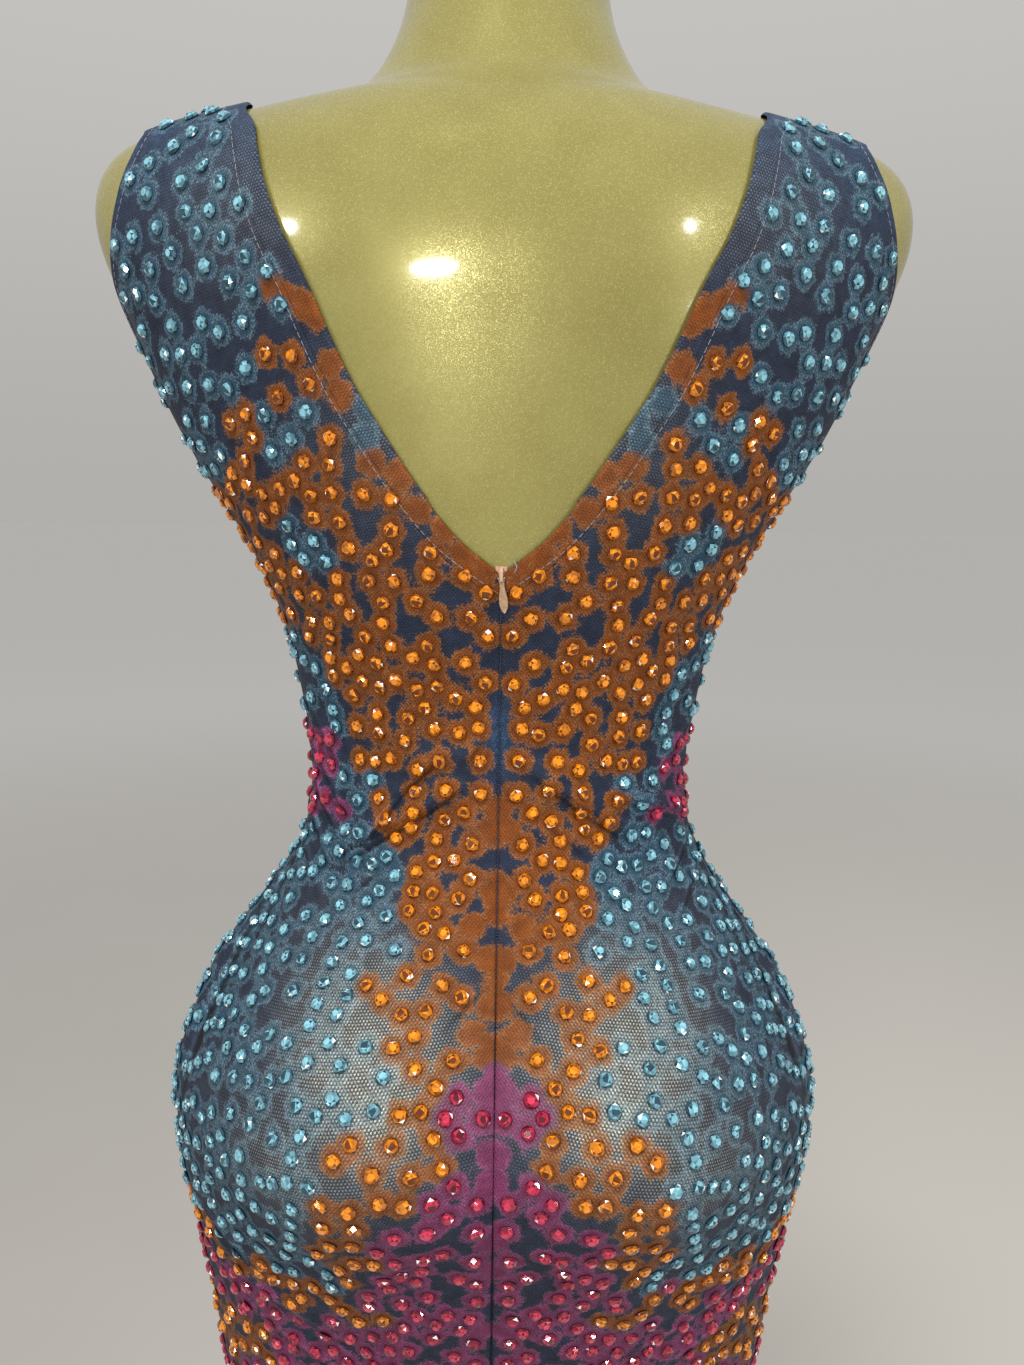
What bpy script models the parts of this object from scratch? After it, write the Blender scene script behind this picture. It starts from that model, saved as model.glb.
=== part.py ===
"""Sleeveless mesh dress with a deep V back, on a limbless torso display form.

The dress is a front and two backs, closed at the centre back by a concealed
zip. The form is one smooth shell on a pole and a round base. Metres, +Z up,
the back faces +Y, and the origin lies on the floor under the pole.
"""
import math

import bmesh
import bpy
import numpy as np
from mathutils import Matrix, Vector

# Cloth
CLOTH = 0.0012           # one layer of printed stretch mesh
HEM = 0.0020             # a turned and stitched edge, two layers
EASE = 0.0016            # room between the form and the cloth
SEAM_GAP = 0.0004        # between two panels that are sewn together
GAP = 0.0003             # between other pieces that touch

# Fine mesh of the panels
BACK_COLUMNS = 14
FRONT_COLUMNS = 10
FORM_COLUMNS = 36
FORM_ROWS = 38

# Zip
ZIP_END = 0.955          # height of the lower end of the zip
TAPE_WIDTH = 0.012
TAPE = 0.0006
TAPE_TOP_DROP = 0.15     # in places below the foot of the V, just under the slider
V_CORNER_HALF = 0.0012   # half the opening at the foot of the V
SLIDER = (0.0050, 0.0008, 0.0070)
SLIDER_CORNER = 0.0004
BRIDGE_WIDTH = 0.0012
BRIDGE_WIRE = 0.0006
PIN_RADIUS = 0.00045
PIN_LENGTH = 0.0034
PIN_ROOM = 0.0005        # between the cloth and the pin
PIN_DROP = 0.0042        # from the slider's top down to the pull's pin
SLIDER_ABOVE_V = 0.0025  # top of the slider above the foot of the V
PULL_LENGTH = 0.0150
PULL_WIDTH = 0.0038
PULL_THICK = 0.0009
ARM_WIDTH = 0.0006       # of the two arms that hold the blade on its pin
ARM_INSET = 0.0004       # from the pin's end to the arm
ARM_THICK = 0.8          # share of the blade's thickness
ARM_LAP = 0.0006         # how far the arms run into the blade

# Stand
BASE_RADIUS = 0.190
BASE_THICK = 0.009
POLE_RADIUS = 0.0125
FLANGE_RADIUS = 0.045
FLANGE_THICK = 0.006
COLLAR_RADIUS = 0.024
COLLAR_HEIGHT = 0.030
CHAMFER = 0.0015
BASE_STEPS = 64          # corners round the base, and round the thinner pieces
FLANGE_STEPS = 32
POLE_STEPS = 24

# Closed ends of the form: rings inside the last one, as shares of its size and
# how far they stand out
FORM_FOOT = ((0.40, 0.009), (0.94, 0.007))
FORM_CROWN = ((0.90, 0.004),)

# Rings of the figure from hem to neck top. half_width, back and front are
# measured from the upright axis, z_side, z_back and z_front are the ring's
# heights there, and square is above 0 where the ring has fuller corners.
RING_COLUMNS = ("half_width", "back", "front", "z_side", "z_back", "z_front", "square")
RINGS = {
    "hem":        (.1160, .0920, .0980, .4700, .4700, .4700, .00),
    "skirt_low":  (.1185, .0900, .0980, .5300, .5300, .5300, .00),
    "skirt_mid":  (.1225, .0870, .0970, .5850, .5850, .5850, .00),
    "form_end":   (.1290, .0860, .0960, .6400, .6400, .6400, .00),
    "thigh":      (.1443, .0900, .1000, .6900, .6900, .6900, .00),
    "under_seat": (.1550, .0980, .1000, .7700, .7700, .7700, -.01),
    "seat_low":   (.1625, .1120, .0980, .8300, .8300, .8300, -.02),
    "seat":       (.1630, .1220, .0950, .8800, .8800, .8800, -.02),
    "seat_high":  (.1450, .1120, .0920, .9250, .9250, .9250, -.01),
    "high_hip":   (.1205, .0900, .0880, .9620, .9620, .9620, .00),
    "waist_low":  (.1004, .0720, .0840, .9940, .9940, .9940, .00),
    "waist":      (.0927, .0640, .0800, 1.030, 1.030, 1.030, .00),
    "ribs_low":   (.0978, .0670, .0840, 1.072, 1.072, 1.072, .00),
    "underbust":  (.1057, .0750, .0900, 1.108, 1.108, 1.108, .00),
    "bust":       (.1243, .0850, .0940, 1.150, 1.150, 1.150, .00),
    "armpit":     (.1516, .0940, .0940, 1.195, 1.195, 1.195, .02),
    "chest":      (.1721, .1000, .0880, 1.238, 1.236, 1.236, .04),
    "cap_low":    (.1875, .1030, .0820, 1.270, 1.265, 1.262, .06),
    "cap":        (.1940, .1010, .0740, 1.298, 1.291, 1.284, .07),
    "cap_tip":    (.1834, .0960, .0620, 1.322, 1.309, 1.302, .07),
    "shoulder":   (.1530, .0880, .0500, 1.3335, 1.323, 1.316, .06),
    "strap_in":   (.1150, .0780, .0410, 1.3385, 1.334, 1.326, .04),
    "neck_slope": (.0780, .0660, .0360, 1.344, 1.346, 1.338, .02),
    "neck_base":  (.0570, .0570, .0360, 1.363, 1.371, 1.361, .00),
    "neck":       (.0470, .0480, .0390, 1.391, 1.398, 1.392, .00),
    "neck_mid":   (.0440, .0450, .0410, 1.426, 1.428, 1.428, .00),
    "neck_top":   (.0430, .0440, .0410, 1.460, 1.460, 1.460, .00),
}

# Rounded swells of the figure. side is +1 on the back and -1 on the front.
SWELL_COLUMNS = ("x", "z", "width", "height", "out", "side")
SWELLS = {
    "seat":           (.072, .895, .062, .060, .030, +1),
    "bust":           (.070, 1.140, .055, .060, .038, -1),
    "shoulder_blade": (.075, 1.265, .050, .060, .006, +1),
}

# Hollows that the stretched cloth spans instead of following
BRIDGES = {
    "between_seat":  (.000, .880, .030, .070, .0070, +1),
    "small_of_back": (.000, 1.015, .045, .055, .0040, +1),
    "between_bust":  (.000, 1.140, .030, .050, .0080, -1),
    "under_bust":    (.050, 1.075, .060, .022, .0030, -1),
    "under_seat":    (.060, .800, .070, .028, .0030, +1),
}

# Drag folds in the cloth. They run from x0, z0 to x1, z1 as seen from the
# back (side +1) or the front (side -1), and stand out by height.
FOLD_COLUMNS = ("x0", "z0", "x1", "z1", "width", "height", "side")
FOLD_START = 0.12        # share of a half wave that a fold's height starts at
FOLD_SIDE = 0.02         # depth in which a fold fades out towards the side seam
FOLDS = {
    "long_left":      (.022, 1.040, .082, .997, .0065, .0032, +1),
    "upper_left":     (.010, 1.053, .040, 1.050, .0060, .0018, +1),
    "waist_left":     (.060, 1.036, .090, 1.016, .0070, .0028, +1),
    "long_right":     (-.014, 1.051, -.050, 1.021, .0065, .0030, +1),
    "notch_right":    (-.052, 1.034, -.092, 1.016, .0070, .0040, +1),
    "seat_left":      (.020, .872, .085, .800, .0090, .0022, +1),
    "seat_right":     (-.018, .866, -.080, .790, .0090, .0022, +1),
    "thigh_left":     (.012, .820, .060, .745, .0090, .0020, +1),
    "thigh_right":    (-.012, .812, -.055, .740, .0090, .0020, +1),
    "front_left":     (.020, 1.040, .086, 1.006, .0070, .0026, -1),
    "front_right":    (-.026, 1.046, -.088, 1.010, .0070, .0028, -1),
    "lap_left":       (.010, .860, .110, .905, .0090, .0020, -1),
    "lap_right":      (-.014, .850, -.105, .900, .0090, .0020, -1),
}

# Cut edges of the panels above the foot of the V. Each row gives the two ends
# of one line across the panel: the outer angle and place, then the inner angle
# and place. Angles are degrees from the side seam towards the centre, and
# places count the rings above from the hem.
BACK_EDGES = {
    "v_foot":      (0.0, 13.72, 90.0, 13.72),
    "v_2":         (0.0, 14.08, 82.5, 14.02),
    "v_3":         (0.0, 14.45, 75.5, 14.47),
    "v_4":         (0.0, 14.85, 69.8, 14.98),
    "v_5":         (0.0, 15.22, 65.3, 15.45),
    "underarm":    (0.0, 15.60, 62.0, 15.98),
    "armhole_1":   (4.0, 15.90, 60.0, 16.40),
    "armhole_2":   (7.5, 16.30, 57.8, 16.85),
    "armhole_3":   (11.0, 16.72, 56.0, 17.20),
    "armhole_4":   (15.5, 17.12, 54.4, 17.60),
    "armhole_5":   (19.5, 17.55, 53.0, 18.00),
    "armhole_6":   (22.8, 18.10, 51.3, 18.50),
    "strap_1":     (24.0, 18.65, 48.0, 19.15),
    "strap_2":     (21.5, 19.15, 41.5, 19.72),
    "strap_3":     (11.5, 19.50, 24.0, 20.70),
    "shoulder":    (0.0, 19.60, 0.0, 21.00),
}
FRONT_EDGES = {
    "v_foot":      (0.0, 13.72, 90.0, 13.72),
    "bust_2":      (0.0, 14.08, 90.0, 14.15),
    "bust_3":      (0.0, 14.45, 90.0, 14.70),
    "bust_4":      (0.0, 14.85, 90.0, 15.25),
    "bust_5":      (0.0, 15.22, 90.0, 15.80),
    "neck_front":  (0.0, 15.60, 90.0, 16.30),
    "armhole_1":   (5.0, 15.88, 81.0, 16.36),
    "armhole_2":   (10.5, 16.28, 72.5, 16.55),
    "armhole_3":   (15.5, 16.72, 65.5, 16.88),
    "armhole_4":   (19.5, 17.15, 60.5, 17.30),
    "armhole_5":   (22.5, 17.60, 57.0, 17.75),
    "armhole_6":   (24.5, 18.10, 54.3, 18.20),
    "strap_1":     (24.5, 18.60, 50.5, 18.75),
    "strap_2":     (21.5, 19.12, 44.0, 19.50),
    "strap_3":     (11.5, 19.50, 24.0, 20.70),
    "shoulder":    (0.0, 19.60, 0.0, 21.00),
}

# Lines across the panels below the foot of the V: first place, last place, count
LOWER_SPANS = (
    (0.0, 3.0, 4), (3.0, 5.0, 3), (5.0, 9.0, 13), (9.0, 12.0, 11), (12.0, 13.72, 5),
)
STRAP_LINES = 3          # lines for each of the last rows of an edge table
STRAP_ROWS = 3
UNDERARM = BACK_EDGES["underarm"][1]
V_FOOT = BACK_EDGES["v_foot"][3]
NECK_FRONT = FRONT_EDGES["neck_front"][3]

COLOURS = {
    "cloth": ((.042, .100, .180, 1), 0.75, 0.0),
    "form": ((.420, .350, .080, 1), 0.35, 0.6),
    "tape": ((.045, .060, .110, 1), 0.80, 0.0),
    "zip_metal": ((.620, .520, .440, 1), 0.35, 0.7),
    "pull": ((.600, .420, .310, 1), 0.35, 0.0),
    "steel": ((.560, .560, .570, 1), 0.30, 1.0),
}


def clear_scene():
    for thing in list(bpy.data.objects):
        bpy.data.objects.remove(thing, do_unlink=True)


def smooth_slopes(values):
    """Slopes of a natural cubic spline through evenly spaced rows."""
    count = len(values)
    matrix = np.eye(count) * 4
    matrix[0, 0] = matrix[-1, -1] = 2
    for i in range(count - 1):
        matrix[i, i + 1] = matrix[i + 1, i] = 1
    right = np.zeros_like(values)
    right[1:-1] = 3 * (values[2:] - values[:-2])
    right[0] = 3 * (values[1] - values[0])
    right[-1] = 3 * (values[-1] - values[-2])
    return np.linalg.solve(matrix, right)


def kept_slopes(values):
    """Slopes that never overshoot, so a straight edge stays straight."""
    step = np.diff(values, axis=0)
    slopes = np.zeros_like(values)
    same = step[1:] * step[:-1] > 0
    total = np.where(same, step[1:] + step[:-1], 1.0)
    slopes[1:-1] = np.where(same, 2 * step[1:] * step[:-1] / total, 0.0)
    slopes[0] = step[0]
    slopes[-1] = step[-1]
    return slopes


def read_table(values, slopes, place):
    """Values at a place between the rows of a table."""
    place = np.clip(np.asarray(place, float), 0, len(values) - 1 - 1e-9)
    row = np.floor(place).astype(int)
    t = (place - row)[..., None]
    first = (2 * t**3 - 3 * t**2 + 1) * values[row]
    last = (3 * t**2 - 2 * t**3) * values[row + 1]
    lean = (t**3 - 2 * t**2 + t) * slopes[row] + (t**3 - t**2) * slopes[row + 1]
    return first + last + lean


RING_VALUES = np.array(list(RINGS.values()), float)
RING_SLOPES = smooth_slopes(RING_VALUES)


def swell_at(table, angle, x, z):
    """How far the swells of a table push a point towards +Y."""
    push = np.zeros_like(x)
    for row in table.values():
        at = dict(zip(SWELL_COLUMNS, row))
        facing = np.clip(at["side"] * np.sin(angle), 0, 1)
        across = (np.abs(x) - at["x"]) / at["width"]
        along = (z - at["z"]) / at["height"]
        push = push + at["side"] * at["out"] * facing * np.exp(-across**2 - along**2)
    return push


def figure_point(angle, place, cloth=False):
    """A point of the figure, or of the cloth's path where it spans hollows."""
    ring = dict(zip(RING_COLUMNS, np.moveaxis(read_table(RING_VALUES, RING_SLOPES, place), -1, 0)))
    cosine = np.cos(angle)
    sine = np.sin(angle)
    square = ring["square"]
    x = ring["half_width"] * (cosine + square * np.cos(3 * angle)) / (1 + square)
    depth = np.where(sine > 0, ring["back"], ring["front"])
    y = depth * (sine - square * np.sin(3 * angle)) / (1 + square)
    z_deep = np.where(sine > 0, ring["z_back"], ring["z_front"])
    z = ring["z_side"] * cosine**2 + z_deep * sine**2
    y = y + swell_at(SWELLS, angle, x, z)
    if cloth:
        y = y + swell_at(BRIDGES, angle, x, z)
    return np.stack([x, y, z], -1)


def outward(angle, place, cloth=False):
    """Unit vectors that point out of the figure."""
    small = 1e-3
    around = figure_point(angle + small, place, cloth) - figure_point(angle - small, place, cloth)
    along = figure_point(angle, place + small, cloth) - figure_point(angle, place - small, cloth)
    normal = np.cross(around, along)
    return normal / np.linalg.norm(normal, axis=-1, keepdims=True)


def fold_height(points):
    """How far the drag folds stand out at each point."""
    rise = np.zeros(points.shape[:-1])
    for row in FOLDS.values():
        at = dict(zip(FOLD_COLUMNS, row))
        start = np.array([at["x0"], at["z0"]])
        run = np.array([at["x1"], at["z1"]]) - start
        flat = points[..., (0, 2)] - start
        along = flat @ run / (run @ run)
        nearest = np.clip(along, 0, 1)[..., None] * run
        distance = np.linalg.norm(flat - nearest, axis=-1)
        taper = np.sin(np.pi * np.clip(FOLD_START + (1 - 2 * FOLD_START) * along, 0, 1))
        behind = np.clip(at["side"] * points[..., 1] / FOLD_SIDE, 0, 1)
        rise = np.maximum(rise, at["height"] * taper * behind * np.exp(-(distance / at["width"])**2))
    return rise


def cloth_point(angle, place, stand):
    """A point of the dress that stands off the figure."""
    base = figure_point(angle, place, cloth=True)
    normal = outward(angle, place, cloth=True)
    rise = fold_height(base)
    return base + normal * (stand + rise)[..., None]


def edge_lines(table):
    """Both ends of every line across a panel, from the hem to the shoulder."""
    places = np.concatenate([np.linspace(first, last, count, endpoint=False)
                             for first, last, count in LOWER_SPANS])
    lower = np.stack([places * 0, places, places * 0 + 90, places], -1)
    values = np.array(list(table.values()), float)
    slopes = kept_slopes(values)
    rows = len(values) - 1
    plain = np.arange(rows - STRAP_ROWS)
    fine = np.linspace(rows - STRAP_ROWS, rows, STRAP_ROWS * STRAP_LINES + 1)
    upper = read_table(values, slopes, np.concatenate([plain, fine]))
    return np.concatenate([lower, upper])


def new_mesh_object(name, points, faces, material, collection):
    mesh = bpy.data.meshes.new(name)
    mesh.from_pydata([tuple(p) for p in points], [], faces)
    mesh.update()
    mesh.materials.append(material)
    thing = bpy.data.objects.new(name, mesh)
    collection.objects.link(thing)
    mesh.shade_smooth()
    mesh.set_sharp_from_angle(angle=math.radians(40))
    return thing


def grid_faces(rows, columns, flip=False):
    faces = []
    for i in range(rows - 1):
        for j in range(columns - 1):
            a = i * columns + j
            quad = (a, a + 1, a + columns + 1, a + columns)
            faces.append(quad[::-1] if flip else quad)
    return faces


def rim_of(faces):
    """Edges used by one face only, in that face's direction."""
    seen = {}
    for face in faces:
        for a, b in zip(face, face[1:] + face[:1]):
            seen[(a, b)] = True
    return [(a, b) for a, b in seen if (b, a) not in seen]


def wall_object(name, outer, inner, faces, material, collection):
    """A closed wall between matching outer and inner points of a sheet."""
    count = len(outer)
    inside = [tuple(v + count for v in reversed(face)) for face in faces]
    sides = [(b, a, a + count, b + count) for a, b in rim_of(faces)]
    points = np.concatenate([outer, inner])
    return new_mesh_object(name, points, faces + inside + sides, material, collection)


def panel_sheet(edges, columns, side, back):
    """Outer and inner points of one half, with the lines that they follow.

    side is +1 for the half at +X, and back is +1 behind and -1 in front.
    """
    lines = edge_lines(edges)
    across = np.linspace(0, 1, columns + 1)[None, :]
    ends = lines[:, None, :]
    angle = np.radians(ends[..., 0] * (1 - across) + ends[..., 2] * across) * back
    place = ends[..., 1] * (1 - across) + ends[..., 3] * across
    if side < 0:
        angle = np.pi - angle
    wall = np.full(angle.shape, CLOTH)
    wall[0, :] = HEM
    wall[lines[:, 1] >= UNDERARM, 0] = HEM
    wall[(lines[:, 2] < 90) | (lines[:, 3] >= NECK_FRONT), -1] = HEM
    outer = cloth_point(angle, place, EASE + CLOTH + angle * 0)
    inner = cloth_point(angle, place, EASE + CLOTH - wall)
    for points in (outer, inner):
        points[lines[:, 0] == 0, 0, 1] += back * SEAM_GAP / 2
        points[-1, 1:, 1] += back * SEAM_GAP / 2
    return outer, inner, lines


def back_panel(name, side, material, collection):
    outer, inner, lines = panel_sheet(BACK_EDGES, BACK_COLUMNS, side, +1)
    for i, line in enumerate(lines):
        if line[2] >= 90:
            at_foot = line[3] >= V_FOOT - 1e-9
            for points in (outer, inner):
                points[i, -1, 0] = side * (V_CORNER_HALF if at_foot else SEAM_GAP / 2)
    rows, count = outer.shape[:2]
    faces = grid_faces(rows, count, flip=side < 0)
    return wall_object(name, outer.reshape(-1, 3), inner.reshape(-1, 3), faces, material, collection)


def front_panel(name, material, collection):
    """Both halves of the front, joined on the centre line below the neck."""
    outers = []
    inners = []
    for side in (+1, -1):
        outer, inner, lines = panel_sheet(FRONT_EDGES, FRONT_COLUMNS, side, -1)
        for points in (outer, inner):
            points[lines[:, 2] >= 90, -1, 0] = 0.0
        outers.append(outer.reshape(-1, 3))
        inners.append(inner.reshape(-1, 3))
    rows, count = len(lines), FRONT_COLUMNS + 1
    size = rows * count
    faces = grid_faces(rows, count, flip=True)
    faces += [tuple(v + size for v in face) for face in grid_faces(rows, count)]
    weld = {size + i * count + count - 1: i * count + count - 1
            for i in range(rows) if lines[i, 2] >= 90}
    kept = [v for v in range(2 * size) if v not in weld]
    number = {v: i for i, v in enumerate(kept)}
    faces = [tuple(number[weld.get(v, v)] for v in face) for face in faces]
    outer = np.concatenate(outers)[kept]
    inner = np.concatenate(inners)[kept]
    return wall_object(name, outer, inner, faces, material, collection)


def zip_tape(name, side, material, collection):
    """One woven tape of the zip, behind the centre back edge of its panel."""
    lines = edge_lines(BACK_EDGES)
    v_foot = int(np.argmax(lines[:, 3] >= V_FOOT - 1e-9))
    heights = figure_point(np.full(len(lines), np.pi / 2), lines[:, 3])[:, 2]
    chosen = [lines[i, 3] for i in range(v_foot) if heights[i] > ZIP_END]
    chosen.append(lines[v_foot, 3] - TAPE_TOP_DROP)
    place = np.array(chosen)[:, None]
    columns = np.array([SEAM_GAP / 2, TAPE_WIDTH / 2, TAPE_WIDTH])[None, :]
    width = read_table(RING_VALUES, RING_SLOPES, place)[..., 0]
    angle = np.pi / 2 - side * np.arcsin(columns / width)
    place = place + columns * 0
    outer = cloth_point(angle, place, EASE - GAP + angle * 0)
    inner = cloth_point(angle, place, EASE - GAP - TAPE + angle * 0)
    rows, count = outer.shape[:2]
    faces = grid_faces(rows, count, flip=side > 0)
    return wall_object(name, outer.reshape(-1, 3), inner.reshape(-1, 3), faces, material, collection)


def torso_form(name, material, collection):
    """The display form: thighs' end to neck top, closed at both ends."""
    first = list(RINGS).index("form_end")
    last = len(RINGS) - 1
    angle = np.linspace(0, 2 * np.pi, FORM_COLUMNS, endpoint=False)[None, :]
    place = np.linspace(first, last, FORM_ROWS)[:, None]
    points = figure_point(angle + place * 0, place + angle * 0)
    count = points.shape[1]
    foot, crown = points[0].mean(axis=0), points[-1].mean(axis=0)
    under = [foot + (points[0] - foot) * share - (0, 0, drop) for share, drop in FORM_FOOT]
    over = [crown + (points[-1] - crown) * share + (0, 0, rise) for share, rise in FORM_CROWN]
    rings = np.concatenate([under, points, over])
    total = len(rings)
    faces = []
    for i in range(total - 1):
        for j in range(count):
            a = i * count + j
            b = i * count + (j + 1) % count
            faces.append((a, b, b + count, a + count))
    faces.append(tuple(reversed(range(count))))
    faces.append(tuple(range((total - 1) * count, total * count)))
    return new_mesh_object(name, rings.reshape(-1, 3), faces, material, collection)


def turned(name, profile, steps, material, collection):
    """A solid of revolution about the upright axis, outer side top to bottom."""
    mesh = bpy.data.meshes.new(name)
    edges = [(i, i + 1) for i in range(len(profile) - 1)]
    mesh.from_pydata([(radius, 0.0, height) for radius, height in profile], edges, [])
    mesh.materials.append(material)
    thing = bpy.data.objects.new(name, mesh)
    collection.objects.link(thing)
    screw = thing.modifiers.new("turn", "SCREW")
    screw.steps = screw.render_steps = steps
    screw.use_merge_vertices = True
    screw.merge_threshold = 0.00001
    screw.use_normal_calculate = False
    return thing


def stand(material, collection):
    form_foot = RINGS["form_end"][3] - FORM_FOOT[0][1]
    flange_top = form_foot - GAP
    flange_foot = flange_top - FLANGE_THICK
    turned("stand_flange", [
        (0.0, flange_top), (FLANGE_RADIUS - CHAMFER, flange_top),
        (FLANGE_RADIUS, flange_top - CHAMFER), (FLANGE_RADIUS, flange_foot), (0.0, flange_foot),
    ], FLANGE_STEPS, material, collection)
    turned("stand_pole", [
        (0.0, flange_foot - GAP), (POLE_RADIUS, flange_foot - GAP),
        (POLE_RADIUS, BASE_THICK + GAP), (0.0, BASE_THICK + GAP),
    ], POLE_STEPS, material, collection)
    inner = POLE_RADIUS + GAP
    collar_top = BASE_THICK + GAP + COLLAR_HEIGHT
    turned("stand_collar", [
        (inner, collar_top), (COLLAR_RADIUS - CHAMFER, collar_top),
        (COLLAR_RADIUS, collar_top - CHAMFER), (COLLAR_RADIUS, BASE_THICK + GAP),
        (inner, BASE_THICK + GAP), (inner, collar_top),
    ], POLE_STEPS, material, collection)
    turned("stand_base", [
        (0.0, BASE_THICK), (BASE_RADIUS - 2 * CHAMFER, BASE_THICK),
        (BASE_RADIUS, BASE_THICK - 2 * CHAMFER), (BASE_RADIUS, 0.0), (0.0, 0.0),
    ], BASE_STEPS, material, collection)


def add_block(mesh, size, centre):
    made = bmesh.ops.create_cube(mesh, size=1.0)
    matrix = Matrix.Translation(centre) @ Matrix.Diagonal((*size, 1.0))
    bmesh.ops.transform(mesh, matrix=matrix, verts=made["verts"])


def zip_frame():
    """Axes at the foot of the V: across, out of the form, and up its surface."""
    angle = np.array(math.pi / 2)
    place = np.array(V_FOOT)
    foot = figure_point(angle, place, cloth=True)
    out = outward(angle, place, cloth=True)
    frame = Matrix.Identity(4)
    frame.col[1][:3] = out
    frame.col[2][:3] = Vector((1, 0, 0)).cross(Vector(out))
    frame.col[3][:3] = foot
    frame.col[3][0] = 0.0
    return frame


def pin_place():
    """The pin's place out from the form and up its surface."""
    return EASE + CLOTH + PIN_ROOM + PIN_RADIUS, SLIDER_ABOVE_V - PIN_DROP


def zip_slider(material, collection):
    """Plate behind the cloth, with a bridge that holds the pull's pin."""
    thick, height = SLIDER[1:]
    plate_face = GAP + thick
    out, up = pin_place()
    inside = out + PIN_RADIUS + GAP
    crown = inside + BRIDGE_WIRE
    corner = SLIDER_CORNER
    top = SLIDER_ABOVE_V - corner
    foot = up - PIN_RADIUS - GAP
    sunk = plate_face - corner / 2
    mesh = bmesh.new()
    add_block(mesh, SLIDER, (0, GAP + thick / 2, SLIDER_ABOVE_V - height / 2))
    slider = loose_object("zip_slider", mesh)
    outline = [
        (sunk, top), (crown - corner, top), (crown, top - corner),
        (crown, foot - BRIDGE_WIRE + corner), (crown - corner, foot - BRIDGE_WIRE),
        (sunk, foot - BRIDGE_WIRE), (sunk, foot), (inside, foot),
        (inside, top - BRIDGE_WIRE), (sunk, top - BRIDGE_WIRE),
    ]
    join(slider, extruded("slider_bridge", outline, BRIDGE_WIDTH))
    slider.data.materials.clear()
    slider.data.materials.append(material)
    slider.matrix_world = zip_frame()
    bpy.context.scene.collection.objects.unlink(slider)
    collection.objects.link(slider)


def extruded(name, outline, width, across="x"):
    """A flat upright outline made width thick across X or Y."""
    mesh = bmesh.new()
    half = width / 2
    if across == "x":
        near = [mesh.verts.new((-half, a, z)) for a, z in outline]
        move = (width, 0, 0)
    else:
        near = [mesh.verts.new((a, -half, z)) for a, z in outline]
        move = (0, width, 0)
    face = mesh.faces.new(near)
    grown = bmesh.ops.extrude_face_region(mesh, geom=[face])
    moved = [v for v in grown["geom"] if isinstance(v, bmesh.types.BMVert)]
    bmesh.ops.translate(mesh, vec=move, verts=moved)
    bmesh.ops.recalc_face_normals(mesh, faces=mesh.faces)
    return loose_object(name, mesh)


def loose_object(name, mesh):
    body = bpy.data.meshes.new(name)
    mesh.to_mesh(body)
    mesh.free()
    thing = bpy.data.objects.new(name, body)
    bpy.context.scene.collection.objects.link(thing)
    return thing


def join(thing, tool):
    """Union tool into thing and apply it."""
    union = thing.modifiers.new("join", "BOOLEAN")
    union.operation = "UNION"
    union.object = tool
    graph = bpy.context.evaluated_depsgraph_get()
    graph.update()
    made = bpy.data.meshes.new_from_object(thing.evaluated_get(graph))
    thing.modifiers.remove(union)
    thing.data = made
    bpy.data.objects.remove(tool, do_unlink=True)


def blade_outline(top):
    """Teardrop: a narrow neck that widens, then a rounded point."""
    rows = (
        (0.00, 0.62), (0.10, 0.56), (0.22, 0.62), (0.38, 0.82), (0.54, 0.97), (0.66, 1.00),
        (0.78, 0.90), (0.88, 0.68), (0.96, 0.38), (1.00, 0.14),
    )
    side = [(PULL_WIDTH / 2 * half, top + (-PULL_LENGTH - top) * down) for down, half in rows]
    return side + [(-x, z) for x, z in reversed(side)]


def zip_pull(material, collection):
    """Pin, two arms and a teardrop blade, turning on the pin."""
    arm_x = PIN_LENGTH / 2 - ARM_INSET - ARM_WIDTH / 2
    blade_top = -(PIN_RADIUS + GAP + BRIDGE_WIRE + GAP)
    pull = extruded("zip_pull", blade_outline(blade_top), PULL_THICK, across="y")
    for sign in (+1, -1):
        mesh = bmesh.new()
        height = -blade_top + ARM_LAP
        add_block(mesh, (ARM_WIDTH, PULL_THICK * ARM_THICK, height), (sign * arm_x, 0, -height / 2))
        join(pull, loose_object("pull_arm", mesh))
    mesh = bmesh.new()
    bmesh.ops.create_cone(mesh, cap_ends=True, segments=12, radius1=PIN_RADIUS,
                          radius2=PIN_RADIUS, depth=PIN_LENGTH,
                          matrix=Matrix.Rotation(math.pi / 2, 4, "Y"))
    join(pull, loose_object("pull_pin", mesh))
    pull.data.materials.clear()
    pull.data.materials.append(material)
    out, up = pin_place()
    pull.location = zip_frame() @ Vector((0, out, up))
    bpy.context.scene.collection.objects.unlink(pull)
    collection.objects.link(pull)


def make_materials():
    made = {}
    for name, (colour, roughness, metallic) in COLOURS.items():
        material = bpy.data.materials.new(name)
        material.use_nodes = True
        shader = material.node_tree.nodes["Principled BSDF"]
        shader.inputs["Base Color"].default_value = colour
        shader.inputs["Roughness"].default_value = roughness
        shader.inputs["Metallic"].default_value = metallic
        made[name] = material
    return made


def main():
    clear_scene()
    collection = bpy.data.collections.new("mesh_dress")
    bpy.context.scene.collection.children.link(collection)
    material = make_materials()
    torso_form("torso_form", material["form"], collection)
    front_panel("front_panel", material["cloth"], collection)
    back_panel("back_left", +1, material["cloth"], collection)
    back_panel("back_right", -1, material["cloth"], collection)
    zip_tape("zip_tape_left", +1, material["tape"], collection)
    zip_tape("zip_tape_right", -1, material["tape"], collection)
    zip_slider(material["zip_metal"], collection)
    zip_pull(material["pull"], collection)
    stand(material["steel"], collection)


main()
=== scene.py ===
"""Looks of the sleeveless mesh dress with a deep V back, on its display form.

Printed net is stretched over a gold flaked form. Flat-backed cut stones sit in
ragged printed rings, in fields of aqua, amber and rose on navy.
"""
import math

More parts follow.
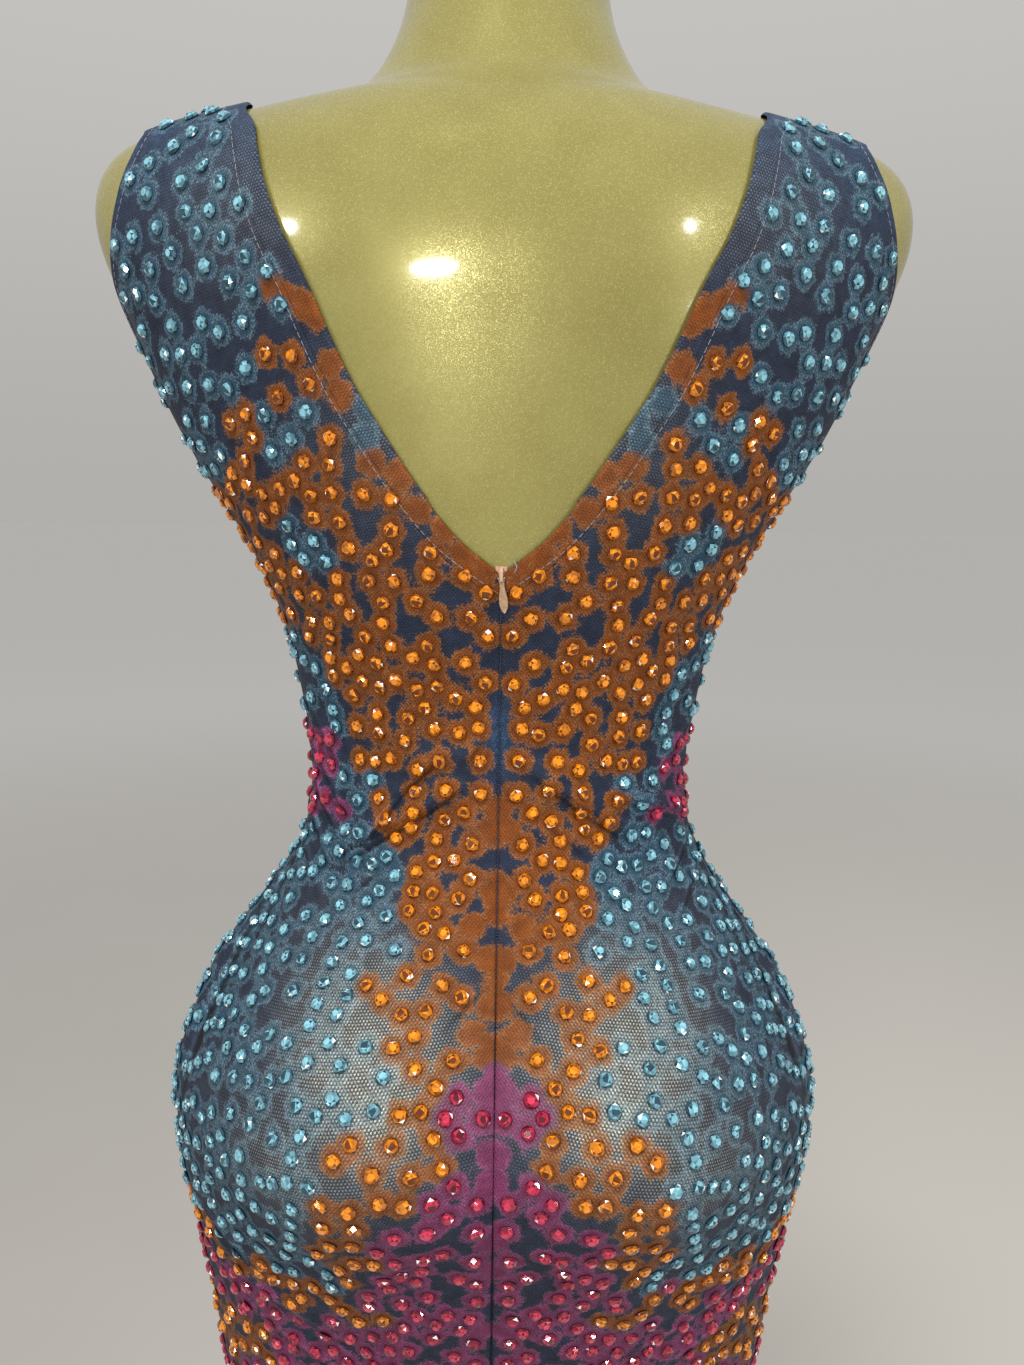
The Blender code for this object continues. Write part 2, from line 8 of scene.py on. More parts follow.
import bpy
import numpy as np
from mathutils import Matrix, Vector, kdtree


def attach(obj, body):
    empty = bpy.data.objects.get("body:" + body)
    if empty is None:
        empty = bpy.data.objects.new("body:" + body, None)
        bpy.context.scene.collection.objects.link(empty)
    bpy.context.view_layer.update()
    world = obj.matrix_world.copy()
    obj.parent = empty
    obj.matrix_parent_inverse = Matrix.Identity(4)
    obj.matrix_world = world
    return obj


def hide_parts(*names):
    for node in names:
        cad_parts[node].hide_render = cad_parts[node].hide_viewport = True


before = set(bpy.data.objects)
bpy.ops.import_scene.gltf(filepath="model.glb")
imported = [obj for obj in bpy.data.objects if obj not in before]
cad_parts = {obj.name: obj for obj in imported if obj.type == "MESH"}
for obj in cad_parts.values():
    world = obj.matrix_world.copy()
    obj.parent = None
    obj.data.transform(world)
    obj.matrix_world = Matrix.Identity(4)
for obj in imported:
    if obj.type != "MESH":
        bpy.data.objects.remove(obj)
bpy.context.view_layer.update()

BODY = "dress_and_form"
PULL_BODY = "pull"

# Sizes of the cloth and zip, as in the part's source
CLOTH = 0.0012
EASE = 0.0016
SEAM_GAP = 0.0004
GAP = 0.0003
V_CORNER_HALF = 0.0012
V_CORNER_PLACES = 0.344
PIN_ROOM = 0.0005
PIN_RADIUS = 0.00045
PIN_LENGTH = 0.0034
PIN_DROP = 0.0042
SLIDER_ABOVE_V = 0.0025
BRIDGE_WIRE = 0.0006
PULL_LENGTH = 0.0150
PULL_WIDTH = 0.0038
PULL_THICK = 0.0009
ZIP_END = 0.955

# Finer make-up of the cloth's surface
BACK_STEP = 0.0021
FRONT_STEP = 0.0026
WAIST = (1.020, 0.045)
WAIST_FINER = 0.5
EDGE_STEPS = (0.0, 0.0004, 0.0010, 0.0020)
NECK_HEM = 0.0105
ARM_HEM = 0.0065
SKIRT_HEM = 0.0200
STITCH = 0.0027
ALLOWANCE = 0.005
ALLOWANCE_STAND = 0.0010
STITCH_PITCH = 0.0036
THREAD_RADIUS = 0.00016
SHOULDER_RUN = (19.80, 20.72)    # places of the allowance behind the shoulder seam

# How far each turned edge bends towards the form, and over what width
EDGE_ROLL = 0.0013       # neck and armhole
EDGE_WIDTH = 0.0014
SIDE_ROLL = 0.0006
SIDE_WIDTH = 0.0022
ZIP_ROLL = 0.0012
ZIP_WIDTH = 0.0011
HEM_ROLL = 0.0010
SHOULDER_ROLL = 0.0003
SHOULDER_WIDTH = 0.0016
SHOULDER_FADE = 0.012    # the roll of neck and armhole starts this far from the shoulder
SLIT_FADE = 0.012        # how far from the zip the slit's room is shared out
SEAM_FADE = 0.004
ZIP_HALF = 0.03
LEAST_STAND = 0.0002     # the cloth's outer face over the foot of its ease

# Net, zip coil and printed rings
NET_PITCH = 0.0013
COIL_TOP = 1.131
COIL_PITCH = 0.0011
SPOT_PITCH = 0.0006      # of the points that stand for an edge
COLUMN_PITCH = 0.0035

# Stones
STONE_RADIUS = 0.0034
STONE_HEIGHT = 0.0024
STONE_SPACING = 0.0091
LONE_SPACING = 1.45      # share of the spacing for a stone off the chains
CHAIN_SIZE = 0.0125
CHAIN_HALF = 0.30
STRAP_SPACING = 0.30     # how much wider the stones are spaced on the straps
HALO_REACH = 0.0062
STONE_TRIES = 42000
SPACING_JITTER = 0.10
STRAP_RISE = (1.17, 0.05)        # where the wider spacing starts, and over what height
ZIP_STRIP = 0.0078               # width of the strip beside the zip that is filled first
ZIP_SPREAD = (1.15, 1.75)
# Least distance of a seated stone's middle from each edge of its panel
STONE_ROOM = {"armhole": 0.0085, "side": 0.0042, "neck": 0.0120, "column": 0.0098,
              "zip": 0.0044, "fold": 0.0046, "hem": 0.010, "shoulder": 0.006}
STONE_SEEDS = {"back_left": 8, "back_right": 6, "front_left": 10, "front_right": 11}

RING_COLUMNS = ("half_width", "back", "front", "z_side", "z_back", "z_front", "square")
RINGS = {
    "hem":        (.1160, .0920, .0980, .4700, .4700, .4700, .00),
    "skirt_low":  (.1185, .0900, .0980, .5300, .5300, .5300, .00),
    "skirt_mid":  (.1225, .0870, .0970, .5850, .5850, .5850, .00),
    "form_end":   (.1290, .0860, .0960, .6400, .6400, .6400, .00),
    "thigh":      (.1443, .0900, .1000, .6900, .6900, .6900, .00),
    "under_seat": (.1550, .0980, .1000, .7700, .7700, .7700, -.01),
    "seat_low":   (.1625, .1120, .0980, .8300, .8300, .8300, -.02),
    "seat":       (.1630, .1220, .0950, .8800, .8800, .8800, -.02),
    "seat_high":  (.1450, .1120, .0920, .9250, .9250, .9250, -.01),
    "high_hip":   (.1205, .0900, .0880, .9620, .9620, .9620, .00),
    "waist_low":  (.1004, .0720, .0840, .9940, .9940, .9940, .00),
    "waist":      (.0927, .0640, .0800, 1.030, 1.030, 1.030, .00),
    "ribs_low":   (.0978, .0670, .0840, 1.072, 1.072, 1.072, .00),
    "underbust":  (.1057, .0750, .0900, 1.108, 1.108, 1.108, .00),
    "bust":       (.1243, .0850, .0940, 1.150, 1.150, 1.150, .00),
    "armpit":     (.1516, .0940, .0940, 1.195, 1.195, 1.195, .02),
    "chest":      (.1721, .1000, .0880, 1.238, 1.236, 1.236, .04),
    "cap_low":    (.1875, .1030, .0820, 1.270, 1.265, 1.262, .06),
    "cap":        (.1940, .1010, .0740, 1.298, 1.291, 1.284, .07),
    "cap_tip":    (.1834, .0960, .0620, 1.322, 1.309, 1.302, .07),
    "shoulder":   (.1530, .0880, .0500, 1.3335, 1.323, 1.316, .06),
    "strap_in":   (.1150, .0780, .0410, 1.3385, 1.334, 1.326, .04),
    "neck_slope": (.0780, .0660, .0360, 1.344, 1.346, 1.338, .02),
    "neck_base":  (.0570, .0570, .0360, 1.363, 1.371, 1.361, .00),
    "neck":       (.0470, .0480, .0390, 1.391, 1.398, 1.392, .00),
    "neck_mid":   (.0440, .0450, .0410, 1.426, 1.428, 1.428, .00),
    "neck_top":   (.0430, .0440, .0410, 1.460, 1.460, 1.460, .00),
}
FORM_END = list(RINGS).index("form_end")

SWELL_COLUMNS = ("x", "z", "width", "height", "out", "side")
SWELLS = {
    "seat":           (.072, .895, .062, .060, .030, +1),
    "bust":           (.070, 1.140, .055, .060, .038, -1),
    "shoulder_blade": (.075, 1.265, .050, .060, .006, +1),
}
BRIDGES = {
    "between_seat":  (.000, .880, .030, .070, .0070, +1),
    "small_of_back": (.000, 1.015, .045, .055, .0040, +1),
    "between_bust":  (.000, 1.140, .030, .050, .0080, -1),
    "under_bust":    (.050, 1.075, .060, .022, .0030, -1),
    "under_seat":    (.060, .800, .070, .028, .0030, +1),
}

# Drag folds of the solids, then finer creases that only show close up. They
# run from x0, z0 to x1, z1; a dip is a crease with a height below 0.
FOLD_COLUMNS = ("x0", "z0", "x1", "z1", "width", "height", "side")
FOLD_START = 0.12
FOLD_SIDE = 0.02
CREASE_SOFT = 1.6
CREASE_STEEP = 0.45
FOLDS = {
    "long_left":      (.022, 1.040, .082, .997, .0065, .0032, +1),
    "upper_left":     (.010, 1.053, .040, 1.050, .0060, .0018, +1),
    "waist_left":     (.060, 1.036, .090, 1.016, .0070, .0028, +1),
    "long_right":     (-.014, 1.051, -.050, 1.021, .0065, .0030, +1),
    "notch_right":    (-.052, 1.034, -.092, 1.016, .0070, .0040, +1),
    "seat_left":      (.020, .872, .085, .800, .0090, .0022, +1),
    "seat_right":     (-.018, .866, -.080, .790, .0090, .0022, +1),
    "thigh_left":     (.012, .820, .060, .745, .0090, .0020, +1),
    "thigh_right":    (-.012, .812, -.055, .740, .0090, .0020, +1),
    "front_left":     (.020, 1.040, .086, 1.006, .0070, .0026, -1),
    "front_right":    (-.026, 1.046, -.088, 1.010, .0070, .0028, -1),
    "lap_left":       (.010, .860, .110, .905, .0090, .0020, -1),
    "lap_right":      (-.014, .850, -.105, .900, .0090, .0020, -1),
}
CREASES = {
    "left_1":            (.028, 1.052, .047, 1.033, .0030, .0024, +1),
    "left_1_low":        (.044, 1.036, .064, 1.010, .0030, .0022, +1),
    "left_2":            (.018, 1.039, .036, 1.025, .0028, .0022, +1),
    "left_2_low":        (.032, 1.028, .078, .996, .0030, .0028, +1),
    "left_3":            (.050, 1.003, .070, .986, .0028, .0014, +1),
    "flank_left_1":      (.093, 1.070, .073, 1.040, .0028, .0018, +1),
    "flank_left_2":      (.096, 1.056, .071, 1.020, .0028, .0022, +1),
    "flank_left_3":      (.098, 1.042, .074, 1.006, .0028, .0022, +1),
    "flank_left_4":      (.100, 1.026, .078, .994, .0030, .0020, +1),
    "flank_left_5":      (.103, 1.010, .084, .982, .0030, .0018, +1),
    "hip_left_1":        (.100, 1.000, .128, .938, .0036, .0016, +1),
    "hip_left_2":        (.110, .992, .142, .916, .0036, .0018, +1),
    "hip_left_3":        (.120, .976, .152, .890, .0038, .0018, +1),
    "hip_left_4":        (.134, .948, .160, .862, .0038, .0016, +1),
    "right_1":           (-.016, 1.046, -.040, 1.027, .0028, .0024, +1),
    "right_1_low":       (-.036, 1.030, -.062, 1.011, .0028, .0020, +1),
    "notch":             (-.058, 1.032, -.088, 1.017, .0026, .0034, +1),
    "right_2":           (-.024, 1.022, -.046, 1.004, .0030, .0014, +1),
    "flank_right_1":     (-.096, 1.066, -.076, 1.042, .0028, .0016, +1),
    "flank_right_2":     (-.100, 1.010, -.078, .986, .0028, .0018, +1),
    "flank_right_3":     (-.103, .998, -.084, .972, .0030, .0016, +1),
    "hip_right_1":       (-.104, .996, -.132, .932, .0036, .0016, +1),
    "hip_right_2":       (-.116, .984, -.148, .902, .0038, .0018, +1),
    "hip_right_3":       (-.132, .952, -.160, .868, .0038, .0016, +1),
    "under_left_1":      (.152, .840, .092, .804, .0042, .0022, +1),
    "under_left_2":      (.148, .818, .068, .777, .0042, .0020, +1),
    "under_left_3":      (.132, .785, .040, .742, .0046, .0018, +1),
    "under_left_4":      (.118, .748, .030, .712, .0050, .0016, +1),
    "under_right_1":     (-.154, .836, -.096, .801, .0042, .0022, +1),
    "under_right_2":     (-.146, .810, -.064, .771, .0042, .0020, +1),
    "under_right_3":     (-.130, .779, -.044, .738, .0046, .0018, +1),
    "zip_end_left":      (.003, .962, .026, .944, .0030, .0014, +1),
    "zip_end_right":     (-.003, .960, -.024, .940, .0030, .0014, +1),
    "zip_side_left":     (.007, 1.064, .015, 1.052, .0024, .0014, +1),
    "front_left_1":      (.022, 1.040, .084, 1.003, .0030, .0022, -1),
    "front_left_2":      (.034, 1.022, .078, .996, .0030, .0018, -1),
    "front_right_1":     (-.028, 1.046, -.086, 1.007, .0030, .0022, -1),
    "front_right_2":     (-.030, 1.024, -.080, .994, .0030, .0016, -1),
    "front_flank_left":  (.094, 1.056, .070, 1.028, .0030, .0018, -1),
    "front_flank_right": (-.096, 1.050, -.070, 1.022, .0030, .0018, -1),
    "front_hip_left":    (.110, 1.000, .146, .910, .0038, .0016, -1),
    "front_hip_right":   (-.112, .996, -.148, .904, .0038, .0016, -1),
    "front_lap_left":    (.020, .842, .130, .872, .0044, .0017, -1),
    "front_lap_right":   (-.024, .834, -.128, .866, .0044, .0017, -1),
    "front_thigh_left":  (.030, .800, .110, .770, .0048, .0015, -1),
    "front_thigh_right": (-.026, .790, -.112, .756, .0048, .0015, -1),
}

# Areas of small parallel wrinkles: middle, half size, the direction that the
# wrinkles run in degrees from the upright, their pitch and their height
RIPPLE_COLUMNS = ("x", "z", "width", "height", "lean", "pitch", "rise", "side")
RIPPLES = (
    (.092, 1.024, .020, .036, -40, .0068, .0016, +1),
    (-.094, 1.018, .020, .036, 40, .0072, .0016, +1),
    (.134, .945, .022, .060, 26, .0098, .0011, +1),
    (-.136, .940, .022, .060, -26, .0100, .0011, +1),
    (.120, .802, .040, .030, -62, .0110, .0015, +1),
    (-.122, .798, .040, .030, 62, .0114, .0015, +1),
    (.045, .760, .050, .035, -58, .0150, .0010, +1),
    (-.047, .756, .050, .035, 58, .0150, .0010, +1),
    (.092, 1.024, .022, .036, -40, .0072, .0014, -1),
    (-.092, 1.020, .022, .036, 40, .0072, .0014, -1),
    (.110, .850, .050, .060, -70, .0140, .0009, -1),
    (-.112, .846, .050, .060, 70, .0140, .0009, -1),
)

# Edges of the panels above the foot of the V, as in the part's source: angles
# in degrees from the side seam, and places that count the rings from the hem
BACK_EDGES = {
    "v_foot":      (0.0, 13.72, 90.0, 13.72),
    "v_2":         (0.0, 14.08, 82.5, 14.02),
    "v_3":         (0.0, 14.45, 75.5, 14.47),
    "v_4":         (0.0, 14.85, 69.8, 14.98),
    "v_5":         (0.0, 15.22, 65.3, 15.45),
    "underarm":    (0.0, 15.60, 62.0, 15.98),
    "armhole_1":   (4.0, 15.90, 60.0, 16.40),
    "armhole_2":   (7.5, 16.30, 57.8, 16.85),
    "armhole_3":   (11.0, 16.72, 56.0, 17.20),
    "armhole_4":   (15.5, 17.12, 54.4, 17.60),
    "armhole_5":   (19.5, 17.55, 53.0, 18.00),
    "armhole_6":   (22.8, 18.10, 51.3, 18.50),
    "strap_1":     (24.0, 18.65, 48.0, 19.15),
    "strap_2":     (21.5, 19.15, 41.5, 19.72),
    "strap_3":     (11.5, 19.50, 24.0, 20.70),
    "shoulder":    (0.0, 19.60, 0.0, 21.00),
}
FRONT_EDGES = {
    "v_foot":      (0.0, 13.72, 90.0, 13.72),
    "bust_2":      (0.0, 14.08, 90.0, 14.15),
    "bust_3":      (0.0, 14.45, 90.0, 14.70),
    "bust_4":      (0.0, 14.85, 90.0, 15.25),
    "bust_5":      (0.0, 15.22, 90.0, 15.80),
    "neck_front":  (0.0, 15.60, 90.0, 16.30),
    "armhole_1":   (5.0, 15.88, 81.0, 16.36),
    "armhole_2":   (10.5, 16.28, 72.5, 16.55),
    "armhole_3":   (15.5, 16.72, 65.5, 16.88),
    "armhole_4":   (19.5, 17.15, 60.5, 17.30),
    "armhole_5":   (22.5, 17.60, 57.0, 17.75),
    "armhole_6":   (24.5, 18.10, 54.3, 18.20),
    "strap_1":     (24.5, 18.60, 50.5, 18.75),
    "strap_2":     (21.5, 19.12, 44.0, 19.50),
    "strap_3":     (11.5, 19.50, 24.0, 20.70),
    "shoulder":    (0.0, 19.60, 0.0, 21.00),
}
V_FOOT = BACK_EDGES["v_foot"][1]
UNDERARM = BACK_EDGES["underarm"][1]
NECK_FRONT = FRONT_EDGES["neck_front"][3]

# Colour fields, painted in this order on aqua. Each is a stroke between two
# places with a reach at each end; side 0 is painted on the back and the front.
AQUA, AMBER, ROSE = 0, 1, 2
FIELD_COLUMNS = ("colour", "x0", "z0", "x1", "z1", "reach0", "reach1", "side")
FIELDS = (
    (AMBER, .088, 1.203, .104, 1.160, .024, .036, 0),
    (AMBER, .040, 1.150, .128, 1.132, .036, .030, 0),
    (AMBER, .000, 1.190, .000, 1.150, .050, .060, -1),
    (AMBER, .000, 1.110, .000, 1.030, .094, .058, 0),
    (AMBER, .000, 1.030, .000, .955, .058, .036, 0),
    (AMBER, .030, .958, .050, .957, .012, .011, 0),
    (AMBER, .000, .955, .000, .925, .034, .024, 0),
    (ROSE, .000, .914, .000, .872, .020, .044, 0),
    (ROSE, .000, .870, .000, .806, .045, .072, 0),
    (ROSE, .000, .770, .170, .760, .055, .045, 0),
    (ROSE, .000, .680, .170, .690, .055, .040, 0),
    (AMBER, .024, .902, .032, .890, .009, .009, 0),
    (AMBER, .032, .940, .036, .912, .012, .011, 0),
    (AMBER, .040, .912, .064, .886, .012, .013, 0),
    (AMBER, .050, .893, .058, .876, .014, .015, 0),
    (AMBER, .066, .880, .062, .836, .013, .012, 0),
    (AMBER, .168, .812, .094, .806, .011, .010, 0),
    (AMBER, .094, .806, .048, .797, .010, .008, 0),
    (AMBER, .118, .752, .140, .742, .016, .018, 0),
    (AMBER, .030, .640, .090, .622, .022, .026, 0),
    (AMBER, .150, .690, .110, .640, .012, .018, 0),
    (AQUA, .150, .590, .000, .540, .040, .036, 0),
    (AQUA, .000, .480, .170, .480, .040, .040, 0),
    (ROSE, .092, 1.052, .085, 1.020, .010, .012, 0),
    (AQUA, .080, 1.199, .100, 1.196, .009, .009, 0),
    (AQUA, .084, 1.143, .085, 1.150, .010, .009, 0),
)

# Places where the net is stretched most and the form shows through, and where a pale painted highlight of the lit form
# is laid on the net's colour
STRETCH_COLUMNS = ("x", "z", "width", "height", "amount", "side")
STRETCHES_AND_HIGHLIGHTS = (
    (.052, .932, .034, .034, .80, +1),
    (.048, .922, .020, .026, 1.00, +1),
    (.080, .893, .034, .024, .30, +1),
    (.105, 1.290, .040, .035, .10, +1),
    (.050, 1.195, .030, .040, .10, +1),
    (.066, 1.140, .036, .036, .80, -1),
    (.000, .930, .050, .050, .45, -1),
    (.100, 1.290, .040, .035, .10, -1),
)

# Printed column without stones down the centre back: its ends, and the middle
# and half height of each bare navy lozenge in it
PLAIN_FOOT = .920
PLAIN_TOP = 1.032
LOZENGES = ((1.007, .008), (.974, .006), (.948, .008))

# Amber rings fill the neck band up to this height, and a patch crosses it above
BAND_TOP = 1.215
PATCH_SPOTS = ((.075, 1.240), (.081, 1.244), (.088, 1.246), (.096, 1.252))

# Lighter blue ground beside the zip: height, half height and half width
BLUE_PATCH = (1.064, .016, .0085)


def smooth_slopes(values):
    """Slopes of a natural cubic spline through evenly spaced rows."""
    count = len(values)
    matrix = np.eye(count) * 4
    matrix[0, 0] = matrix[-1, -1] = 2
    for i in range(count - 1):
        matrix[i, i + 1] = matrix[i + 1, i] = 1
    right = np.zeros_like(values)
    right[1:-1] = 3 * (values[2:] - values[:-2])
    right[0] = 3 * (values[1] - values[0])
    right[-1] = 3 * (values[-1] - values[-2])
    return np.linalg.solve(matrix, right)


def kept_slopes(values):
    """Slopes that never overshoot, so a straight edge stays straight."""
    step = np.diff(values, axis=0)
    slopes = np.zeros_like(values)
    same = step[1:] * step[:-1] > 0
    total = np.where(same, step[1:] + step[:-1], 1.0)
    slopes[1:-1] = np.where(same, 2 * step[1:] * step[:-1] / total, 0.0)
    slopes[0] = step[0]
    slopes[-1] = step[-1]
    return slopes


def read_table(values, slopes, place):
    """Values at a place between the rows of a table."""
    place = np.clip(np.asarray(place, float), 0, len(values) - 1 - 1e-9)
    row = np.floor(place).astype(int)
    t = (place - row)[..., None]
    first = (2 * t**3 - 3 * t**2 + 1) * values[row]
    last = (3 * t**2 - 2 * t**3) * values[row + 1]
    lean = (t**3 - 2 * t**2 + t) * slopes[row] + (t**3 - t**2) * slopes[row + 1]
    return first + last + lean


RING_VALUES = np.array(list(RINGS.values()), float)
RING_SLOPES = smooth_slopes(RING_VALUES)


def swell_at(table, angle, x, z):
    """How far the swells of a table push a point towards +Y."""
    push = np.zeros_like(x)
    for row in table.values():
        at = dict(zip(SWELL_COLUMNS, row))
        facing = np.clip(at["side"] * np.sin(angle), 0, 1)
        across = (np.abs(x) - at["x"]) / at["width"]
        along = (z - at["z"]) / at["height"]
        push = push + at["side"] * at["out"] * facing * np.exp(-across**2 - along**2)
    return push


def figure_point(angle, place, cloth=False):
    """A point of the form, or of the cloth's path where it spans hollows."""
    ring = dict(zip(RING_COLUMNS, np.moveaxis(read_table(RING_VALUES, RING_SLOPES, place), -1, 0)))
    cosine = np.cos(angle)
    sine = np.sin(angle)
    square = ring["square"]
    x = ring["half_width"] * (cosine + square * np.cos(3 * angle)) / (1 + square)
    depth = np.where(sine > 0, ring["back"], ring["front"])
    y = depth * (sine - square * np.sin(3 * angle)) / (1 + square)
    z_deep = np.where(sine > 0, ring["z_back"], ring["z_front"])
    z = ring["z_side"] * cosine**2 + z_deep * sine**2
    y = y + swell_at(SWELLS, angle, x, z)
    if cloth:
        y = y + swell_at(BRIDGES, angle, x, z)
    return np.stack([x, y, z], -1)


def outward(angle, place, cloth=False):
    """Unit vectors that point out of the form."""
    small = 1e-3
    around = figure_point(angle + small, place, cloth) - figure_point(angle - small, place, cloth)
    along = figure_point(angle, place + small, cloth) - figure_point(angle, place - small, cloth)
    normal = np.cross(around, along)
    return normal / np.linalg.norm(normal, axis=-1, keepdims=True)


def stroke_distance(points, x0, z0, x1, z1):
    """Distance from a stroke seen from the back, and the place along it."""
    start = np.array([x0, z0])
    run = np.array([x1, z1]) - start
    flat = points[..., (0, 2)] - start
    along = flat @ run / (run @ run)
    nearest = np.clip(along, 0, 1)[..., None] * run
    return np.linalg.norm(flat - nearest, axis=-1), along


def fold_shares(points, row):
    """Distance from a fold's crest, above 0 on its upper side, and how strong it is."""
    at = dict(zip(FOLD_COLUMNS, row))
    distance, along = stroke_distance(points, at["x0"], at["z0"], at["x1"], at["z1"])
    run = at["x1"] - at["x0"], at["z1"] - at["z0"]
    above = (run[0] * (points[..., 2] - at["z0"]) - run[1] * (points[..., 0] - at["x0"])) * run[0] >= 0
    taper = np.sin(np.pi * np.clip(FOLD_START + (1 - 2 * FOLD_START) * along, 0, 1))
    behind = np.clip(at["side"] * points[..., 1] / FOLD_SIDE, 0, 1)
    return np.where(above, distance, -distance), taper * behind, at["width"], at["height"]


def fold_rise(points):
    """Height of the broad folds, which the solids have too."""
    rise = np.zeros(points.shape[:-1])
    for row in FOLDS.values():
        distance, share, width, height = fold_shares(points, row)
        rise = np.maximum(rise, height * share * np.exp(-(distance / width)**2))
    return rise


def crease_rise(points):
    """Height of the fine creases: a soft upper slope that turns under sharply."""
    rise = np.zeros(points.shape[:-1])
    for row in CREASES.values():
        distance, share, width, height = fold_shares(points, row)
        spread = np.where(distance > 0, width * CREASE_SOFT, width * CREASE_STEEP)
        rise += height * share * np.exp(-(distance / spread)**2)
    return rise


def crease_shade_and_highlight(points):
    """Painted highlight above 0 on the taut crests, and painted shade below 0 at the foot where the net turns under."""
    tone = np.zeros(points.shape[:-1])
    for row in CREASES.values():
        distance, share, width, height = fold_shares(points, row)
        strength = share * np.clip(height / .0020, 0, 1)
        # Painted highlight along each crest, and painted shade at the foot of its steep side
        crest = np.exp(-((distance - .15 * width) / (.34 * width))**2)
        foot = np.exp(-((distance + .62 * width) / (.40 * width))**2)
        tone += strength * (crest - foot)
    return np.clip(tone, -1, 1)


def waves(places, size, seed, count=9):
    """Soft uneven noise from -1 to 1, with bumps about size metres across."""
    random = np.random.default_rng(seed)
    heading = random.uniform(0, math.tau, count)
    number = math.tau / (size * random.uniform(1.5, 2.9, count))
    start = random.uniform(0, math.tau, count)
    total = np.zeros(places.shape[:-1])
    for angle, rate, shift in zip(heading, number, start):
        total += np.sin(rate * (places[..., 0] * math.cos(angle) + places[..., 1] * math.sin(angle)) + shift)
    return total / math.sqrt(count) / 1.4


def ripple_rise(points):
    """Height of the small parallel wrinkles."""
    rise = np.zeros(points.shape[:-1])
    flat = points[..., (0, 2)]
    sway = waves(flat, .030, 11)
    uneven = 0.6 + 0.4 * waves(flat, .024, 12)
    for row in RIPPLES:
        at = dict(zip(RIPPLE_COLUMNS, row))
        lean = math.radians(at["lean"])
        across = flat[..., 0] * math.cos(lean) + flat[..., 1] * math.sin(lean)
        reach = ((flat[..., 0] - at["x"]) / at["width"])**2 + ((flat[..., 1] - at["z"]) / at["height"])**2
        behind = np.clip(at["side"] * points[..., 1] / 0.02 + 0.3, 0, 1)
        crest = 0.5 + 0.5 * np.sin(math.tau * across / at["pitch"] + 2.2 * sway)
        rise += at["rise"] * uneven * behind * np.exp(-reach) * (crest**1.6 - 0.35)
    return rise


def curl(distance, depth, reach):
    """How far a turned edge bends back towards the form."""
    return -depth * (1 - np.clip(distance / reach, 0, 1))**2


def edge_spots(length, count):
    """Places along a length: fine steps at both ends and even ones between."""
    near = np.array(EDGE_STEPS)
    middle = np.linspace(near[-1], length - near[-1], count)
    return np.concatenate([near[:-1], middle, length - near[-2::-1]])


def run_lengths(points):
    steps = np.linalg.norm(np.diff(points, axis=0), axis=-1)
    return np.concatenate([[0.0], np.cumsum(steps)])


def make_panel(edges, side, back, step):
    """One half of the dress behind or in front, as a table of cross lines."""
    places = np.linspace(0, V_FOOT, 1400, endpoint=False)
    lower = np.stack([places * 0, places, places * 0 + 90, places], -1)
    values = np.array(list(edges.values()), float)
    upper = read_table(values, kept_slopes(values), np.linspace(0, len(values) - 1, 1500))
    dense = np.concatenate([lower, upper])
    middle = figure_point(np.radians((dense[:, 0] + dense[:, 2]) / 2) * back,
                          (dense[:, 1] + dense[:, 3]) / 2)
    arc = run_lengths(middle)
    close = step * (1 - WAIST_FINER * np.exp(-((middle[:, 2] - WAIST[0]) / WAIST[1])**2))
    even = np.concatenate([[0.0], np.cumsum(np.diff(arc) / close[1:])])
    spots = edge_spots(arc[-1], int(even[-1]))
    plain = slice(len(EDGE_STEPS), -len(EDGE_STEPS))
    spots[plain] = np.interp(np.linspace(0, even[-1], len(spots))[plain], even, arc)
    lines = np.stack([np.interp(spots, arc, dense[:, k]) for k in range(4)], -1)
    panel = {"lines": lines, "spots": spots, "side": side, "back": back}
    across = np.linspace(0, 1, 80)[None, :]
    angle, place = panel_places(panel, np.arange(len(lines))[:, None], across)
    points = figure_point(angle, place, cloth=True)
    panel["width"] = np.linalg.norm(np.diff(points, axis=1), axis=-1).sum(axis=1)
    panel["columns"] = int(panel["width"].max() / step)
    return panel


def panel_places(panel, line, across):
    """Angle and place on the form for a line and a share of the way across it."""
    lines = panel["lines"]
    line = np.clip(line, 0, len(lines) - 1 - 1e-9)
    row = np.floor(line).astype(int)
    t = line - row
    outer_angle, outer_place, inner_angle, inner_place = (
        lines[row, k] * (1 - t) + lines[row + 1, k] * t for k in range(4))
    angle = np.radians(outer_angle * (1 - across) + inner_angle * across) * panel["back"]
    place = outer_place * (1 - across) + inner_place * across
    if panel["side"] < 0:
        angle = np.pi - angle
    return angle, place


def row_value(values, line):
    return np.interp(line, np.arange(len(values)), values)


def neck_start(panel):
    """Place on the inner edge above which it is the neck's."""
    return V_FOOT if panel["back"] > 0 else NECK_FRONT


